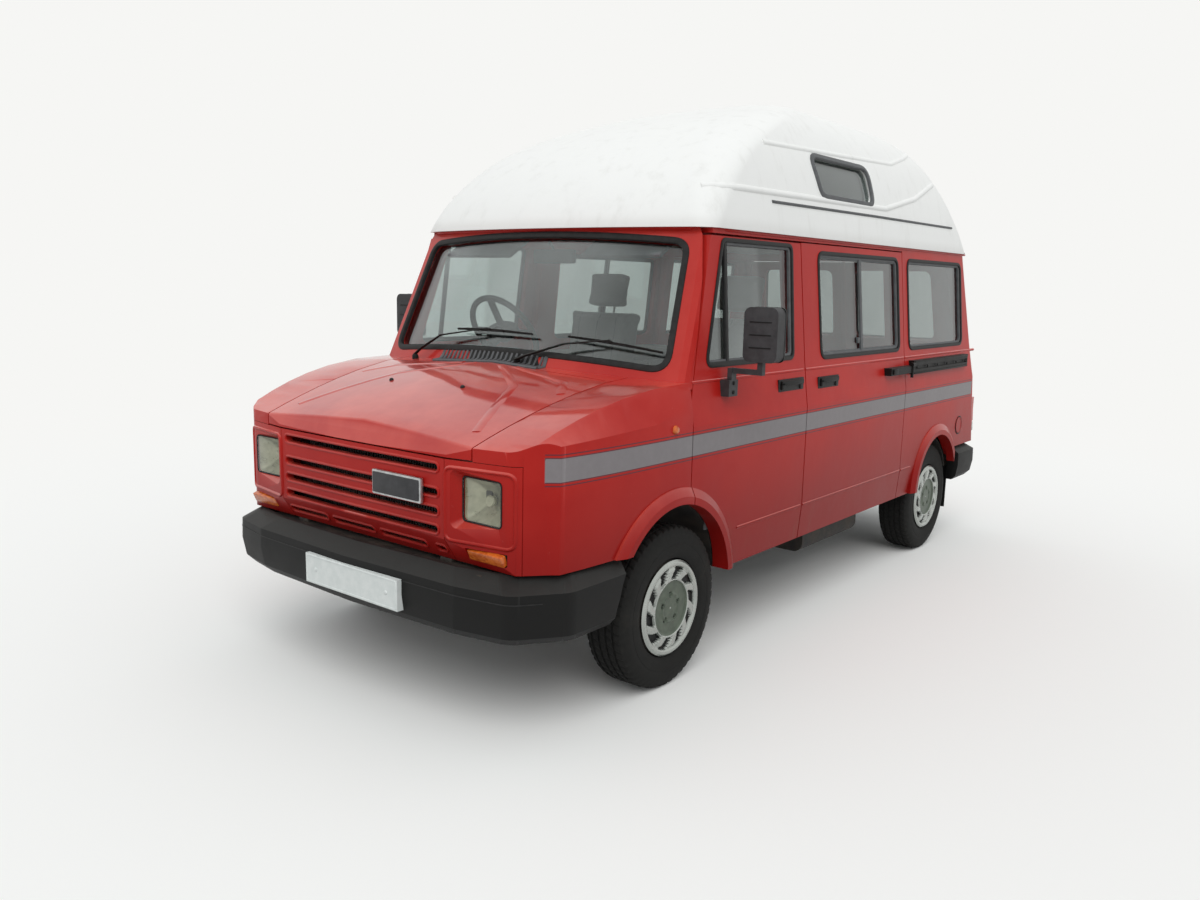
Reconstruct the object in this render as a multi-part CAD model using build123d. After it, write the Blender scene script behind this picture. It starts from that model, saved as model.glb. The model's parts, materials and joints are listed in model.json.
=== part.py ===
"""High-top camper van: a semi-forward-control van with windows and a moulded raised roof.

Millimetres. X is across (+X is the vehicle's left), Y along (-Y is the front), Z up from the ground.
Pieces are drawn with Y = 0 at the front axle. write() moves them so that Y = 0 is the middle of the length.
"""

from build123d import *
import os
from math import atan2, cos, degrees, hypot, radians, sin, sqrt, tan

# ---------------------------------------------------------------- driving dimensions
WHEELBASE = 2700
HALF_WIDTH = 862            # body side, centreline to outer skin
BUMPER_FRONT_Y = -866       # foremost face, on the centreline
SILL_Z = 395                # lower edge of the doors and sides
ROOF_JOINT_Z = 1741         # where the moulded roof sits on the body
ROOF_TOP_Z = 2438
WALL = 45                   # doors and side walls, outer skin to inner trim
SKIN = 28                   # bonnet, wings and front panel
SHUT_GAP = 6                # shut lines of fixed or in-plane panels
SWING_GAP = 8               # shut line at the free edge of a side-hinged door
FRAME_DEPTH = 40            # inner frame of the sides, behind the wall
AIR = 6                     # room between the wall and the inner frame

# wheels and axles
TYRE_R = 314
TYRE_WIDTH = 180
RIM_R = 186
RIM_WIDTH = 150
FRONT_HUB_X = HALF_WIDTH - 12   # outer face of the front wheel trims
REAR_HUB_X = HALF_WIDTH - 30
TYRE_INSET = 4              # tyre's side wall inboard of the trim's face
KINGPIN_X = HALF_WIDTH - 172
KINGPIN_R = 12
STUB_R = 18
RUNNING = 0.05              # radial clearance of turning fits
STEER_ARM = 116             # steering arm, straight back from the kingpin
INNER_WING_X = KINGPIN_X - 208  # inner walls of the front wheel housings, clear of the steered tyres

# side section: (x, z) of the outer skin from the sill up
BELT_Z = 1166
SIDE = [
    (HALF_WIDTH - 14, SILL_Z),
    (HALF_WIDTH, SILL_Z + 157),
    (HALF_WIDTH, BELT_Z - 166),
    (HALF_WIDTH - 7, BELT_Z - 121),
    (HALF_WIDTH - 22, BELT_Z),
    (HALF_WIDTH - 26, BELT_Z + 34),
    (HALF_WIDTH - 75, ROOF_JOINT_Z - 53),
    (HALF_WIDTH - 80, ROOF_JOINT_Z),
]
REAR_FOOT_Y = WHEELBASE + 685   # rear face at REAR_FOOT_Z; it leans forward above
REAR_FOOT_Z = 585
REAR_LEAN = 0.19            # millimetres forward for each millimetre up
REAR_CORNER_R = 70
BUMPER_REAR_Y = REAR_FOOT_Y + 85

# shut lines of the side
FRONT_SHUT_Y = 78
FRONT_SHUT_HEAD_Y = 262     # where the front shut line meets the door's top
DOOR_TOP_Z = ROOF_JOINT_Z - 23
REAR_SHUT_Y = FRONT_SHUT_Y + 925
SLIDE_SHUT_Y = WHEELBASE - 545
SHUT_SLANT = 0.25           # the front door's rear edge tapers inwards

# windscreen
SCREEN_FOOT = (-54, 1235)   # (y, z) on the centreline, outer face
SCREEN_HEAD = (158, 1725)
SCREEN_BEND_R = 3300
SCREEN_OPENING = [(HALF_WIDTH - 101, 1243), (HALF_WIDTH - 155, 1714)]   # (half width, z) at its foot and head
GLASS = 6
PILLAR_R = 55               # rounding between the windscreen's frame and the sides

# front
NOSE_Y = -806               # front panel on the centreline
NOSE_FOOT_Z = 585           # the front panel's and wings' lower edge, on the bumper
NOSE_BREAK_Z = 680          # the front panel slopes back below this
LIP_Z = 944                 # lower edge of the bonnet's front lip
LIP_TOP_Z = 1008
GRILLE_HALF = HALF_WIDTH - 402
NOSE_HALF = HALF_WIDTH - 112    # the front panels' outer shut line
LAMP_X = (HALF_WIDTH - 350, HALF_WIDTH - 174)
LAMP_Z = (736, 886)
LAMP_RIM = (26, 36)         # the lamp's surround: wider than the lamp by, and deep
BONNET_HALF = (HALF_WIDTH - 296, HALF_WIDTH - 240)  # half width at the front and at the rear edge
BONNET_REAR_Y = -115

# wheel arches: centre y, centre z, radius of the lip
FRONT_ARCH = (-18, 355, 366)
REAR_ARCH = (WHEELBASE - 8, 390, 302)
REAR_ARCH_INNER_R = 352
FLARE_WIDTH = 62
FLARE_PROUD = 20

# glass openings: (y0, y1, z0, z1) at the outer skin, between the side's two upper creases
WINDOW_Z = (BELT_Z + 43, ROOF_JOINT_Z - 64)
SLIDE_WINDOW = (REAR_SHUT_Y + 165, SLIDE_SHUT_Y - 67, *WINDOW_Z)
QUARTER_WINDOW = (SLIDE_SHUT_Y + 72, REAR_FOOT_Y - 325, *WINDOW_Z)
ROOF_WINDOW = (REAR_SHUT_Y + 209, REAR_SHUT_Y + 797, ROOF_JOINT_Z + 199, ROOF_JOINT_Z + 367)
WINDOW_R = 45
SEAL_GAP = 2

FLOOR_TOP_Z = 495
FLOOR_T = 40
TOW_Z = 336                 # towball plate: two holes, 90 mm apart, for M16 bolts
TOW_SPACING = 90
TOW_HOLE_R = 8.5

# hinges of the rear doors: how far the pin stands out of the rear face, and its place across
HINGE_OUT = 20
HINGE_X = HALF_WIDTH - 110
HINGE_PIN_R = 4
HINGE_BARREL_R = 9
HINGE_HEIGHTS = (REAR_FOOT_Z + 175, BELT_Z - 56)

MID_Y = (BUMPER_FRONT_Y + BUMPER_REAR_Y) / 2
REAR_AXLE = (WHEELBASE, TYRE_R)
FRONT_TYRE_X = FRONT_HUB_X - TYRE_INSET - TYRE_WIDTH / 2
REAR_TYRE_X = REAR_HUB_X - TYRE_INSET - TYRE_WIDTH / 2
FLOOR_HALF = HALF_WIDTH - WALL - AIR - FRAME_DEPTH - 19
SEAT_X = HALF_WIDTH - 462
REAR_SPRING_X = REAR_TYRE_X - 218
FLOOR_UNDER_Z = FLOOR_TOP_Z - FLOOR_T
FAR = 6000


# ---------------------------------------------------------------- helpers
def block(x0, x1, y0, y1, z0, z1):
    """Box between two corners."""
    box = Box(x1 - x0, y1 - y0, z1 - z0)
    return Pos((x0 + x1) / 2, (y0 + y1) / 2, (z0 + z1) / 2) * box


def prism_yz(points, x0, x1, radius=0):
    """Outline in the YZ plane, given as (y, z), extruded from x0 to x1."""
    face = make_face(Polyline(*[(y, z) for y, z in points], close=True))
    if radius:
        face = fillet(face.vertices(), radius)
    plane = Plane(origin=(x0, 0, 0), x_dir=(0, 1, 0), z_dir=(1, 0, 0))
    return plane * extrude(face, x1 - x0)


def prism_xy(points, z0, z1, radius=0):
    """Outline in plan extruded from z0 to z1."""
    face = make_face(Polyline(*points, close=True))
    if radius:
        face = fillet(face.vertices(), radius)
    return Pos(0, 0, z0) * extrude(face, z1 - z0)


def disc_x(y, z, radius, x0, x1):
    """Cylinder along X."""
    return Pos((x0 + x1) / 2, y, z) * Rot(0, 90, 0) * Cylinder(radius, x1 - x0)


def post(x, y, radius, z0, z1):
    """Cylinder along Z."""
    return Pos(x, y, (z0 + z1) / 2) * Cylinder(radius, z1 - z0)


def mirrored(piece):
    """The same piece on the vehicle's right."""
    return mirror(piece, about=Plane.YZ)


def both(piece):
    """The piece and its mirror image."""
    return piece + mirrored(piece)


def side_x(z, inset=0):
    """Outer skin's x at a height."""
    for (xa, za), (xb, zb) in zip(SIDE, SIDE[1:]):
        if z <= zb:
            return xa + (xb - xa) * (max(z, za) - za) / (zb - za) - inset
    return SIDE[-1][0] - inset


def rear_y(z):
    """Rear face's y at a height."""
    return REAR_FOOT_Y - REAR_LEAN * (z - REAR_FOOT_Z)


def screen_lean():
    """Windscreen's lean from upright, degrees."""
    return degrees(atan2(SCREEN_HEAD[0] - SCREEN_FOOT[0], SCREEN_HEAD[1] - SCREEN_FOOT[1]))


def screen_drum(inset):
    """Everything behind the windscreen's curved face, moved in by inset."""
    lean = radians(screen_lean())
    radius = SCREEN_BEND_R - inset
    centre = (0, SCREEN_FOOT[0] + SCREEN_BEND_R * cos(lean), SCREEN_FOOT[1] - SCREEN_BEND_R * sin(lean))
    axis = Plane(origin=centre, x_dir=(1, 0, 0), z_dir=(0, sin(lean), cos(lean)))
    return axis * Cylinder(radius, 3 * FAR)


def body_mass(inset):
    """The cab's and load space's outer form moved in by inset; the inner form runs out of both ends."""
    over = 60 if inset else 0
    levels = list(SIDE)
    levels[0] = (levels[0][0], levels[0][1] - over)
    levels[-1] = (levels[-1][0], levels[-1][1] + over)
    slices = []
    for x, z in levels:
        half, rear = x - inset, rear_y(z) - inset
        outline = make_face(Polyline((-half, -700), (half, -700), (half, rear), (-half, rear), close=True))
        corners = [v for v in outline.vertices() if v.Y > 0]
        slices.append(Pos(0, 0, z) * fillet(corners, max(REAR_CORNER_R - inset, 12)))
    return loft(slices, ruled=True)


def body_shell(depth=WALL, start=0):
    """Wall of the body from start to depth under the outer skin."""
    return body_mass(start) - body_mass(depth)


FRONT_LOFT_YS = (-900, -835, -770, -700, -620, -530, -430, -310, -150)    # sections of the bonnet and wings


def front_station(y):
    """Half width, lower crease z, upper crease (x, z), bonnet edge z and crown z at y.

    Each falls away forwards from the front shut line by its own power of the distance.
    """
    ahead = (FRONT_SHUT_Y - y) / 868
    top_z = BELT_Z - 199 * ahead ** 2.3
    return (
        y,
        HALF_WIDTH - 56 * ahead ** 3.4,
        min(BELT_Z - 121 - 45 * ahead, top_z - 5),
        HALF_WIDTH - 22 - 75 * ahead ** 2,
        top_z,
        BELT_Z + 16 - 200 * ahead ** 1.71,
        BELT_Z + 48 - 203 * ahead ** 1.6,
    )


BONNET_EDGE_X = HALF_WIDTH - 262


def front_section(station, inset):
    """Half-mirrored section of the bonnet and wings at one station."""
    y, width, low_z, top_x, top_z, edge_z, crown_z = station
    foot = NOSE_FOOT_Z - (60 if inset else 0)
    half = [
        (width - inset, foot),
        (width - inset, low_z - inset / 2),
        (top_x - inset / 2, top_z - inset),
        (BONNET_EDGE_X, edge_z - inset),
        (0, crown_z - inset),
    ]
    full = half + [(-x, z) for x, z in reversed(half[:-1])]
    return Plane(origin=(0, y, 0), x_dir=(1, 0, 0), z_dir=(0, -1, 0)) * make_face(Polyline(*full, close=True))


def front_mass(inset):
    """The solid form under bonnet, wings and front panel, moved in by inset."""
    stations = [front_station(y) for y in (*FRONT_LOFT_YS, FRONT_SHUT_Y - SHUT_GAP / 2)]
    body = loft([front_section(s, inset) for s in stations], ruled=True)
    i = inset
    w = HALF_WIDTH
    plan = [(0, NOSE_Y + i), (w - 392 - i / 4, NOSE_Y + 8 + i)]
    plan += [(w - 130 - i / 2, NOSE_Y + 54 + i), (w - 58 - i, NOSE_Y + 140 + i)]
    plan += [(w + 118 - i, NOSE_Y + 306), (w + 118 - i, 400)]
    plan += [(-x, y) for x, y in reversed(plan[1:])]
    shape = make_face(Polyline(*plan, close=True))
    bends = [v for v in shape.vertices() if w - 260 < abs(v.X) < w + 38 and v.Y < NOSE_Y + 206]
    shape = fillet(bends, 90)
    body = body & (Pos(0, 0, NOSE_FOOT_Z - 100) * extrude(shape, 1000))
    profile = [
        (NOSE_Y + 62 + i, NOSE_FOOT_Z),
        (NOSE_Y + i, NOSE_BREAK_Z),
        (NOSE_Y + i, LIP_Z),
        (NOSE_Y + 42 + i, LIP_TOP_Z),
        (NOSE_Y + 110 + i, LIP_TOP_Z + 260),
        (400, LIP_TOP_Z + 260),
        (400, NOSE_FOOT_Z - 100),
        (NOSE_Y + 130 + i, NOSE_FOOT_Z - 100),
    ]
    return body & prism_yz(profile, -FAR, FAR)


def arch_cut(arch, x0, x1, extra=0):
    """Round opening of a wheel arch between x0 and x1."""
    y, z, radius = arch
    return disc_x(y, z, radius + extra, x0, x1)


def flare(arch):
    """Raised lip round an arch on the left side, proud of the skin."""
    y, z, radius = arch
    ring = disc_x(y, z, radius + FLARE_WIDTH, HALF_WIDTH - 30, HALF_WIDTH + FLARE_PROUD)
    outer = ring.edges().filter_by(GeomType.CIRCLE).sort_by(Axis.X)[-1]
    ring = chamfer(outer, FLARE_PROUD - 4, 34)
    return ring - disc_x(y, z, radius, HALF_WIDTH - 40, HALF_WIDTH + FLARE_PROUD + 10)


def glass_pane(outline, x_inset, radius=WINDOW_R):
    """Side glass that follows the leaning side, in an outline in (y, z)."""
    return body_shell(x_inset + GLASS, x_inset) & prism_yz(outline, 300, FAR, radius)


def rectangle(y0, y1, z0, z1, margin=0):
    """Corner points of a side opening, moved in by margin."""
    y0, y1, z0, z1 = y0 + margin, y1 - margin, z0 + margin, z1 - margin
    return [(y0, z0), (y1, z0), (y1, z1), (y0, z1)]


# ---------------------------------------------------------------- shared solids
SHELL = body_shell()
FRONT_SHELL = front_mass(0) - front_mass(SKIN)
INNER_FRAME = body_shell(WALL + AIR + FRAME_DEPTH, WALL + AIR)


def door_outline(gap_front, gap_rear, gap_top):
    """Front door's outline in (y, z), with its leaning front shut line."""
    front = FRONT_SHUT_Y + gap_front
    lean_y = FRONT_SHUT_HEAD_Y + gap_front * 1.1
    return [
        (front, SILL_Z - 5),
        (front, 1100),
        (front + 22, BELT_Z),
        (lean_y, DOOR_TOP_Z - gap_top),
        (REAR_SHUT_Y - gap_rear, DOOR_TOP_Z - gap_top),
        (REAR_SHUT_Y - gap_rear, SILL_Z - 5),
    ]


def door_window_outline(margin):
    """Front door's glass opening in (y, z)."""
    m = margin
    front_foot, front_head = FRONT_SHUT_Y + 118, FRONT_SHUT_HEAD_Y + 90
    rear_foot, rear_head = REAR_SHUT_Y - 110, REAR_SHUT_Y - 88
    low, high = BELT_Z + 56, ROOF_JOINT_Z - 44
    front = [(front_foot + m, low + m), (front_head + m, high - m)]
    return front + [(rear_head - m, high - m), (rear_foot - m, low + m)]


def front_door_left():
    """Full-thickness front door with its rear edge tapering inwards and its share of the arch flare."""
    panel = SHELL + (flare(FRONT_ARCH) & block(700, 1000, FRONT_SHUT_Y, 1000, SILL_Z, 900))
    door = panel & prism_yz(door_outline(SHUT_GAP / 2, SWING_GAP / 2, SHUT_GAP), 560, 1000)
    edge = REAR_SHUT_Y - SWING_GAP / 2
    door = door - edge_wedge(edge)
    door = door - prism_yz(door_window_outline(0), 560, 1000, 30)
    return door - arch_cut(FRONT_ARCH, 560, 1000)


def edge_wedge(edge):
    """Wedge that takes the inner side off the door's rear edge, at every height by the same taper."""
    depth = WALL + 5
    wedge = None
    for (xa, za), (xb, zb) in zip(SIDE, SIDE[1:]):
        slices = []
        for x, z in ((xa, za), (xb, zb)):
            inner = x - depth
            corner = [(x, edge), (inner, edge - depth * SHUT_SLANT), (inner, edge + 40)]
            corner += [(x + 40, edge + 40), (x + 40, edge)]
            slices.append(Pos(0, 0, z) * make_face(Polyline(*corner, close=True)))
        step = loft(slices, ruled=True)
        wedge = step if wedge is None else wedge + step
    return wedge


def write(name, piece):
    """Moves a piece to the part's origin and writes it."""
    solids = (Pos(0, -MID_Y, 0) * piece).solids()
    whole = solids[0] if len(solids) == 1 else Compound(children=list(solids))
    export_step(whole, f"parts/{name}.step")
    print(name, len(solids), [round(v) for v in whole.bounding_box().size])


# ---------------------------------------------------------------- body
def slide_outline(gap):
    return rectangle(REAR_SHUT_Y, SLIDE_SHUT_Y, SILL_Z - 5 - gap, DOOR_TOP_Z, gap)


def sliding_door():
    """Side door that slides back along its rail; built closed."""
    door = SHELL & prism_yz(slide_outline(SHUT_GAP / 2), 560, 1000)
    return door - prism_yz(rectangle(*SLIDE_WINDOW), 560, 1000, WINDOW_R)


REAR_DOOR_EDGE = 104        # rear doors' outer edges from the side skin
REAR_DOOR_Z = (REAR_FOOT_Z + 15, ROOF_JOINT_Z - 41)
REAR_WINDOW = (75, HALF_WIDTH - 250, BELT_Z + 49, ROOF_JOINT_Z - 96)    # x0, x1 at the foot, z0, z1
REAR_POST = WALL + AIR + FRAME_DEPTH + 3    # depth of the rear frame behind the leaning rear face


def rear_plane():
    """Plane of the rear face, its origin at ground level on the centreline."""
    return Plane(origin=(0, rear_y(0), 0), x_dir=(-1, 0, 0), z_dir=(0, 1, REAR_LEAN))


def rear_prism(points, radius=0):
    """Outline given as (x, z) on the rear face, extruded square through the rear wall."""
    stretch = hypot(1, REAR_LEAN)
    face = make_face(Polyline(*[(-x, z * stretch) for x, z in points], close=True))
    if radius:
        face = fillet(face.vertices(), radius)
    return rear_plane() * extrude(face, 200, both=True)


def rear_door_outline(gap, free_edge):
    """Left rear door's outline; its outer edge follows the body side."""
    z0, z1 = REAR_DOOR_Z
    low, mid, top = [side_x(z) - REAR_DOOR_EDGE - gap for z in (z0, 1000, z1)]
    return [(free_edge, z0 + gap), (low, z0 + gap), (mid, 1000), (top, z1 - gap), (free_edge, z1 - gap)]


def rear_door_aperture():
    """Opening for both rear doors."""
    half = rear_door_outline(-SHUT_GAP / 2, 0)[1:4]
    outline = half + [(-x, z) for x, z in reversed(half)]
    return rear_prism(outline)


def side_panel(with_sliding_door):
    """Left side behind the front door with posts, cant rail and quarter window."""
    keep = block(300, FAR, FRONT_SHUT_HEAD_Y + 20, FAR, SILL_Z - 5, ROOF_JOINT_Z)
    outer = SHELL & keep
    outer = outer - prism_yz(door_outline(-SHUT_GAP / 2, -SWING_GAP / 2, -SHUT_GAP / 2), 560, 1000)
    outer = outer - block(300, FAR, -500, REAR_SHUT_Y, SILL_Z - 10, DOOR_TOP_Z)
    if with_sliding_door:
        outer = outer - prism_yz(slide_outline(-SHUT_GAP / 2), 560, 1000)
    else:
        outer = outer - prism_yz(rectangle(*SLIDE_WINDOW), 560, 1000, WINDOW_R)
    outer = outer - prism_yz(rectangle(*QUARTER_WINDOW), 560, 1000, WINDOW_R)
    frame = INNER_FRAME & (
        block(300, FAR, REAR_SHUT_Y - 34, REAR_SHUT_Y + 40, FLOOR_TOP_Z + 5, ROOF_JOINT_Z)
        + block(300, FAR, SLIDE_SHUT_Y - 34, SLIDE_SHUT_Y + 40, FLOOR_TOP_Z + 5, ROOF_JOINT_Z)
        + block(300, FAR, FRONT_SHUT_HEAD_Y + 20, FAR, 1690, ROOF_JOINT_Z)
    )
    rail = block(300, FAR, FRONT_SHUT_HEAD_Y + 20, FAR, DOOR_TOP_Z + 5, ROOF_JOINT_Z)
    join = body_shell(WALL + AIR + FRAME_DEPTH, 0) & rail
    panel = outer + frame + join - rear_zone(REAR_POST)
    panel = panel + (flare(REAR_ARCH) & block(300, FAR, 0, FAR, SILL_Z, BELT_Z))
    panel = panel - arch_cut(REAR_ARCH, 560, 1000)
    panel = panel - arch_cut((REAR_AXLE[0], REAR_AXLE[1], REAR_ARCH_INNER_R), 300, HALF_WIDTH - 26)
    behind = REAR_ARCH[0] + REAR_ARCH[2] - 20
    return panel - block(300, FAR, behind, FAR, 0, REAR_FOOT_Z)


def rear_zone(depth):
    """Everything behind a plane parallel to the rear face, depth in front of it."""
    low, high = 0, 3000
    outline = [(rear_y(low) - depth, low), (FAR, low), (FAR, high), (rear_y(high) - depth, high)]
    return prism_yz(outline, -FAR, FAR)


def rear_hinge_part(x0, x1, out0, out1, z, low, high):
    """Block beside a left rear hinge's pin, from the pin's axis; low and high are heights along the pin."""
    size = (x1 - x0, high - low, out1 - out0)
    height = z * hypot(1, REAR_LEAN) + (low + high) / 2
    middle = (-HINGE_X - (x0 + x1) / 2, height, HINGE_OUT + (out0 + out1) / 2)
    return rear_plane() * Pos(*middle) * Box(*size)


def rear_hinge_round(radius, z, low, high):
    """Cylinder on a left rear hinge's axis."""
    middle = (-HINGE_X, z * hypot(1, REAR_LEAN) + (low + high) / 2, HINGE_OUT)
    return rear_plane() * Pos(*middle) * Rot(90, 0, 0) * Cylinder(radius, high - low)


HINGE_REACH = (20, 45)      # half heights of the door's knuckle and of the whole hinge
HINGE_AIR = 1


def rear_hinge_on_frame(z):
    """Frame half of a left rear hinge: a knuckle above and below the door's, with the pin."""
    inner, whole = HINGE_REACH
    r = HINGE_BARREL_R
    half = rear_hinge_round(HINGE_PIN_R, z, -whole, whole)
    for low, high in ((-whole, -inner - HINGE_AIR), (inner + HINGE_AIR, whole)):
        half = half + rear_hinge_round(r, z, low, high)
        half = half + rear_hinge_part(3, 24, 7 - HINGE_OUT, 2, z, low, high)
        half = half + rear_hinge_part(r, 42, -HINGE_OUT - 2, 8 - HINGE_OUT, z, low, high)
    return half


def rear_hinge_on_door(z):
    """Door half of a left rear hinge."""
    inner = HINGE_REACH[0]
    half = rear_hinge_round(HINGE_BARREL_R, z, -inner, inner)
    half = half + rear_hinge_part(-24, -3, 7 - HINGE_OUT, 2, z, -inner, inner)
    half = half + rear_hinge_part(-60, -HINGE_BARREL_R, -HINGE_OUT - 2, 8 - HINGE_OUT, z, -inner, inner)
    return half - rear_hinge_round(HINGE_PIN_R + RUNNING, z, -60, 60)


def rear_frame():
    """Frame round the rear doors: rounded corner posts, header and sill, and the hinges' fixed halves."""
    ring = SHELL & rear_zone(REAR_POST) & block(-FAR, FAR, 0, FAR, REAR_FOOT_Z, ROOF_JOINT_Z)
    ring = ring - rear_door_aperture()
    for z in HINGE_HEIGHTS:
        ring = ring + both(rear_hinge_on_frame(z))
    return ring


def rear_door_left():
    """Left rear door with its window cut; the free edge tapers inwards."""
    door = SHELL & rear_prism(rear_door_outline(SHUT_GAP / 2, SHUT_GAP / 2))
    door = door - rear_window_space(0)
    low, high = REAR_DOOR_Z[0] - 20, REAR_DOOR_Z[1] + 20
    faces = []
    for z in (low, high):
        y = rear_y(z)
        x, inner = SHUT_GAP / 2, y - WALL - 2
        corner = [(x, y), (x + 14, inner), (x - 20, inner), (x - 20, y)]
        faces.append(Pos(0, 0, z) * make_face(Polyline(*corner, close=True)))
    door = door - loft(faces, ruled=True)
    for z in HINGE_HEIGHTS:
        door = door + rear_hinge_on_door(z)
    return door


def rear_window_space(margin):
    """Left rear door's glass opening."""
    x0, x1, z0, z1 = REAR_WINDOW
    m = margin
    foot = [(x0 + m, z0 + m), (x1 - m, z0 + m)]
    return rear_prism(foot + [(x1 - 30 - m, z1 - m), (x0 + m, z1 - m)], WINDOW_R - m)


def rear_glass_left():
    return body_shell(18 + GLASS, 18) & rear_window_space(SEAL_GAP)


def screen_opening(margin):
    """Windscreen opening, cut square to the glass."""
    lean = radians(screen_lean())
    corners = [(half - margin, (z - SCREEN_FOOT[1]) / cos(lean)) for half, z in SCREEN_OPENING]
    (low, foot), (high, head) = corners
    foot, head = foot + margin, head - margin
    outline = make_face(Polyline((-low, foot), (low, foot), (high, head), (-high, head), close=True))
    face = fillet(outline.vertices(), 62)
    plane = Plane(origin=(0, *SCREEN_FOOT), x_dir=(1, 0, 0), z_dir=(0, -cos(lean), sin(lean)))
    return plane * extrude(face, 350, both=True)


def pillar_corner(z):
    """Wedge of the square corner between the windscreen's frame and the left side, at one height."""
    lean = (SCREEN_HEAD[0] - SCREEN_FOOT[0]) / (SCREEN_HEAD[1] - SCREEN_FOOT[1])
    x = side_x(z)
    y = SCREEN_FOOT[0] + lean * (z - SCREEN_FOOT[1]) + x * x / 2 / SCREEN_BEND_R
    r = PILLAR_R
    points = [(x - r, y - 0.3 * r - 2), (x - 0.42 * r, y + 0.1 * r), (x - 0.1 * r, y + 0.45 * r)]
    points += [(x + 1, y + r), (x + 60, y + r), (x + 60, y - 150), (x - r, y - 150)]
    return Pos(0, 0, z) * make_face(Polyline(*points, close=True))


def pillar_rounding():
    """What the rounding of the front pillars takes off their square corners."""
    heights = [1120, BELT_Z, BELT_Z + 34, ROOF_JOINT_Z - 53, ROOF_JOINT_Z + 5]
    wedge = None
    for low, high in zip(heights, heights[1:]):
        step = loft([pillar_corner(low), pillar_corner(high)], ruled=True)
        wedge = step if wedge is None else wedge + step
    return both(wedge)


def screen_frame():
    """Windscreen surround, front pillars, header and scuttle, pressed as one."""
    cab = (body_mass(0) & screen_drum(0)) - (body_mass(WALL) & screen_drum(WALL))
    pillars = cab & block(-FAR, FAR, -600, FRONT_SHUT_HEAD_Y + 18, 1140, ROOF_JOINT_Z)
    doorway = prism_yz(door_outline(-SHUT_GAP / 2, -300, -30), HALF_WIDTH - 182, FAR)
    pillars = pillars - both(doorway) - pillar_rounding()
    rear = BONNET_HALF[1]
    scuttle = FRONT_SHELL & block(-rear, rear, BONNET_REAR_Y + SHUT_GAP / 2, FRONT_SHUT_Y - 3, 1000, 1300)
    return pillars + scuttle - screen_opening(0) - wing_tops()


def wing_tops():
    """Space of the front wings, taken out of the screen frame."""
    return both(front_mass(0) & block(BONNET_HALF[1] - 4, FAR, -900, FRONT_SHUT_Y + 50, 500, 1300))


def front_wing_left():
    """Left wing with its share of the arch flare and an inner wheel housing."""
    wing = FRONT_SHELL & block(300, FAR, -FAR, FRONT_SHUT_Y - SHUT_GAP / 2, NOSE_FOOT_Z, 1300)
    wing = wing - bonnet_region(-SHUT_GAP / 2) - nose_region(-2)
    wing = wing - block(-FAR, BONNET_HALF[1], BONNET_REAR_Y - 20, FAR, 0, FAR)
    lip = flare(FRONT_ARCH) & block(700, 1000, -600, FRONT_SHUT_Y - SHUT_GAP / 2, NOSE_FOOT_Z, 900)
    liner = wheel_house(FRONT_ARCH, INNER_WING_X - 12, HALF_WIDTH - 12)
    liner = liner & block(0, FAR, -FAR, FRONT_SHUT_Y - 3, NOSE_FOOT_Z, FAR)
    wing = wing + lip + liner
    return wing - arch_cut(FRONT_ARCH, INNER_WING_X + 8, HALF_WIDTH + 138)


def bonnet_region(gap):
    """Bonnet's space in plan, narrower at the front, above its front lip."""
    front, rear = BONNET_HALF[0] - gap, BONNET_HALF[1] - gap
    back = BONNET_REAR_Y - gap
    outline = [(-front, NOSE_Y - 60), (front, NOSE_Y - 60), (rear, back), (-rear, back)]
    return prism_xy(outline, LIP_Z + gap, 1400)


def nose_region(gap):
    """Front panels' space: below the bonnet's lip, out to the lamps' outer edge."""
    half = NOSE_HALF - gap
    return block(-half, half, -FAR, -640 - gap, NOSE_FOOT_Z - 10, LIP_Z - 3 - gap)


GRILLE_SLOTS = [907, 822, 758, 695]      # heights of the long slots
SLOT_HALF = GRILLE_HALF - 30
SLOT_H = 24
LOW_SLOT_Z = 626
LOW_SLOT_H = 18
LOW_SLOTS = [(-440, -212), (-172, 64), (104, 344), (398, 442)]
SEAM = 3                                 # shut line between the grille and each lamp panel


def slot(x0, x1, z, height):
    """Round-ended slot through the front panel."""
    face = Plane(origin=((x0 + x1) / 2, -690, z), x_dir=(1, 0, 0), z_dir=(0, -1, 0))
    return face * extrude(RectangleRounded(x1 - x0, height, height / 2 - 3), 200)


def front_panels():
    """Slotted grille panel between two lamp panels with deep lamp surrounds."""
    panel = FRONT_SHELL & nose_region(0)
    box = block(LAMP_X[0] - 34, NOSE_HALF - 8, NOSE_Y + 20, NOSE_Y + 106, NOSE_BREAK_Z + 12, LIP_Z - 14)
    panel = panel + both(box & front_mass(SKIN - 4))
    for z in GRILLE_SLOTS:
        panel = panel - slot(-SLOT_HALF, SLOT_HALF, z, SLOT_H)
    for x0, x1 in LOW_SLOTS:
        panel = panel - slot(x0, x1, LOW_SLOT_Z, LOW_SLOT_H)
    panel = panel - both(lamp_space(0)) - both(lamp_surround()) - both(indicator_space(0))
    seam = both(block(GRILLE_HALF, GRILLE_HALF + SEAM, -FAR, 0, 0, FAR))
    return panel - seam


def lamp_outline(margin, y):
    """Left lamp's rounded outline, grown by margin, standing at y."""
    wide = LAMP_X[1] - LAMP_X[0] + 2 * margin
    tall = LAMP_Z[1] - LAMP_Z[0] + 2 * margin
    centre = (sum(LAMP_X) / 2, y, sum(LAMP_Z) / 2)
    plane = Plane(origin=centre, x_dir=(1, 0, 0), z_dir=(0, -1, 0))
    return plane * RectangleRounded(wide, tall, 14 + margin / 2)


def lamp_space(margin):
    return extrude(lamp_outline(-margin, NOSE_Y + 116), 200)


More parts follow.
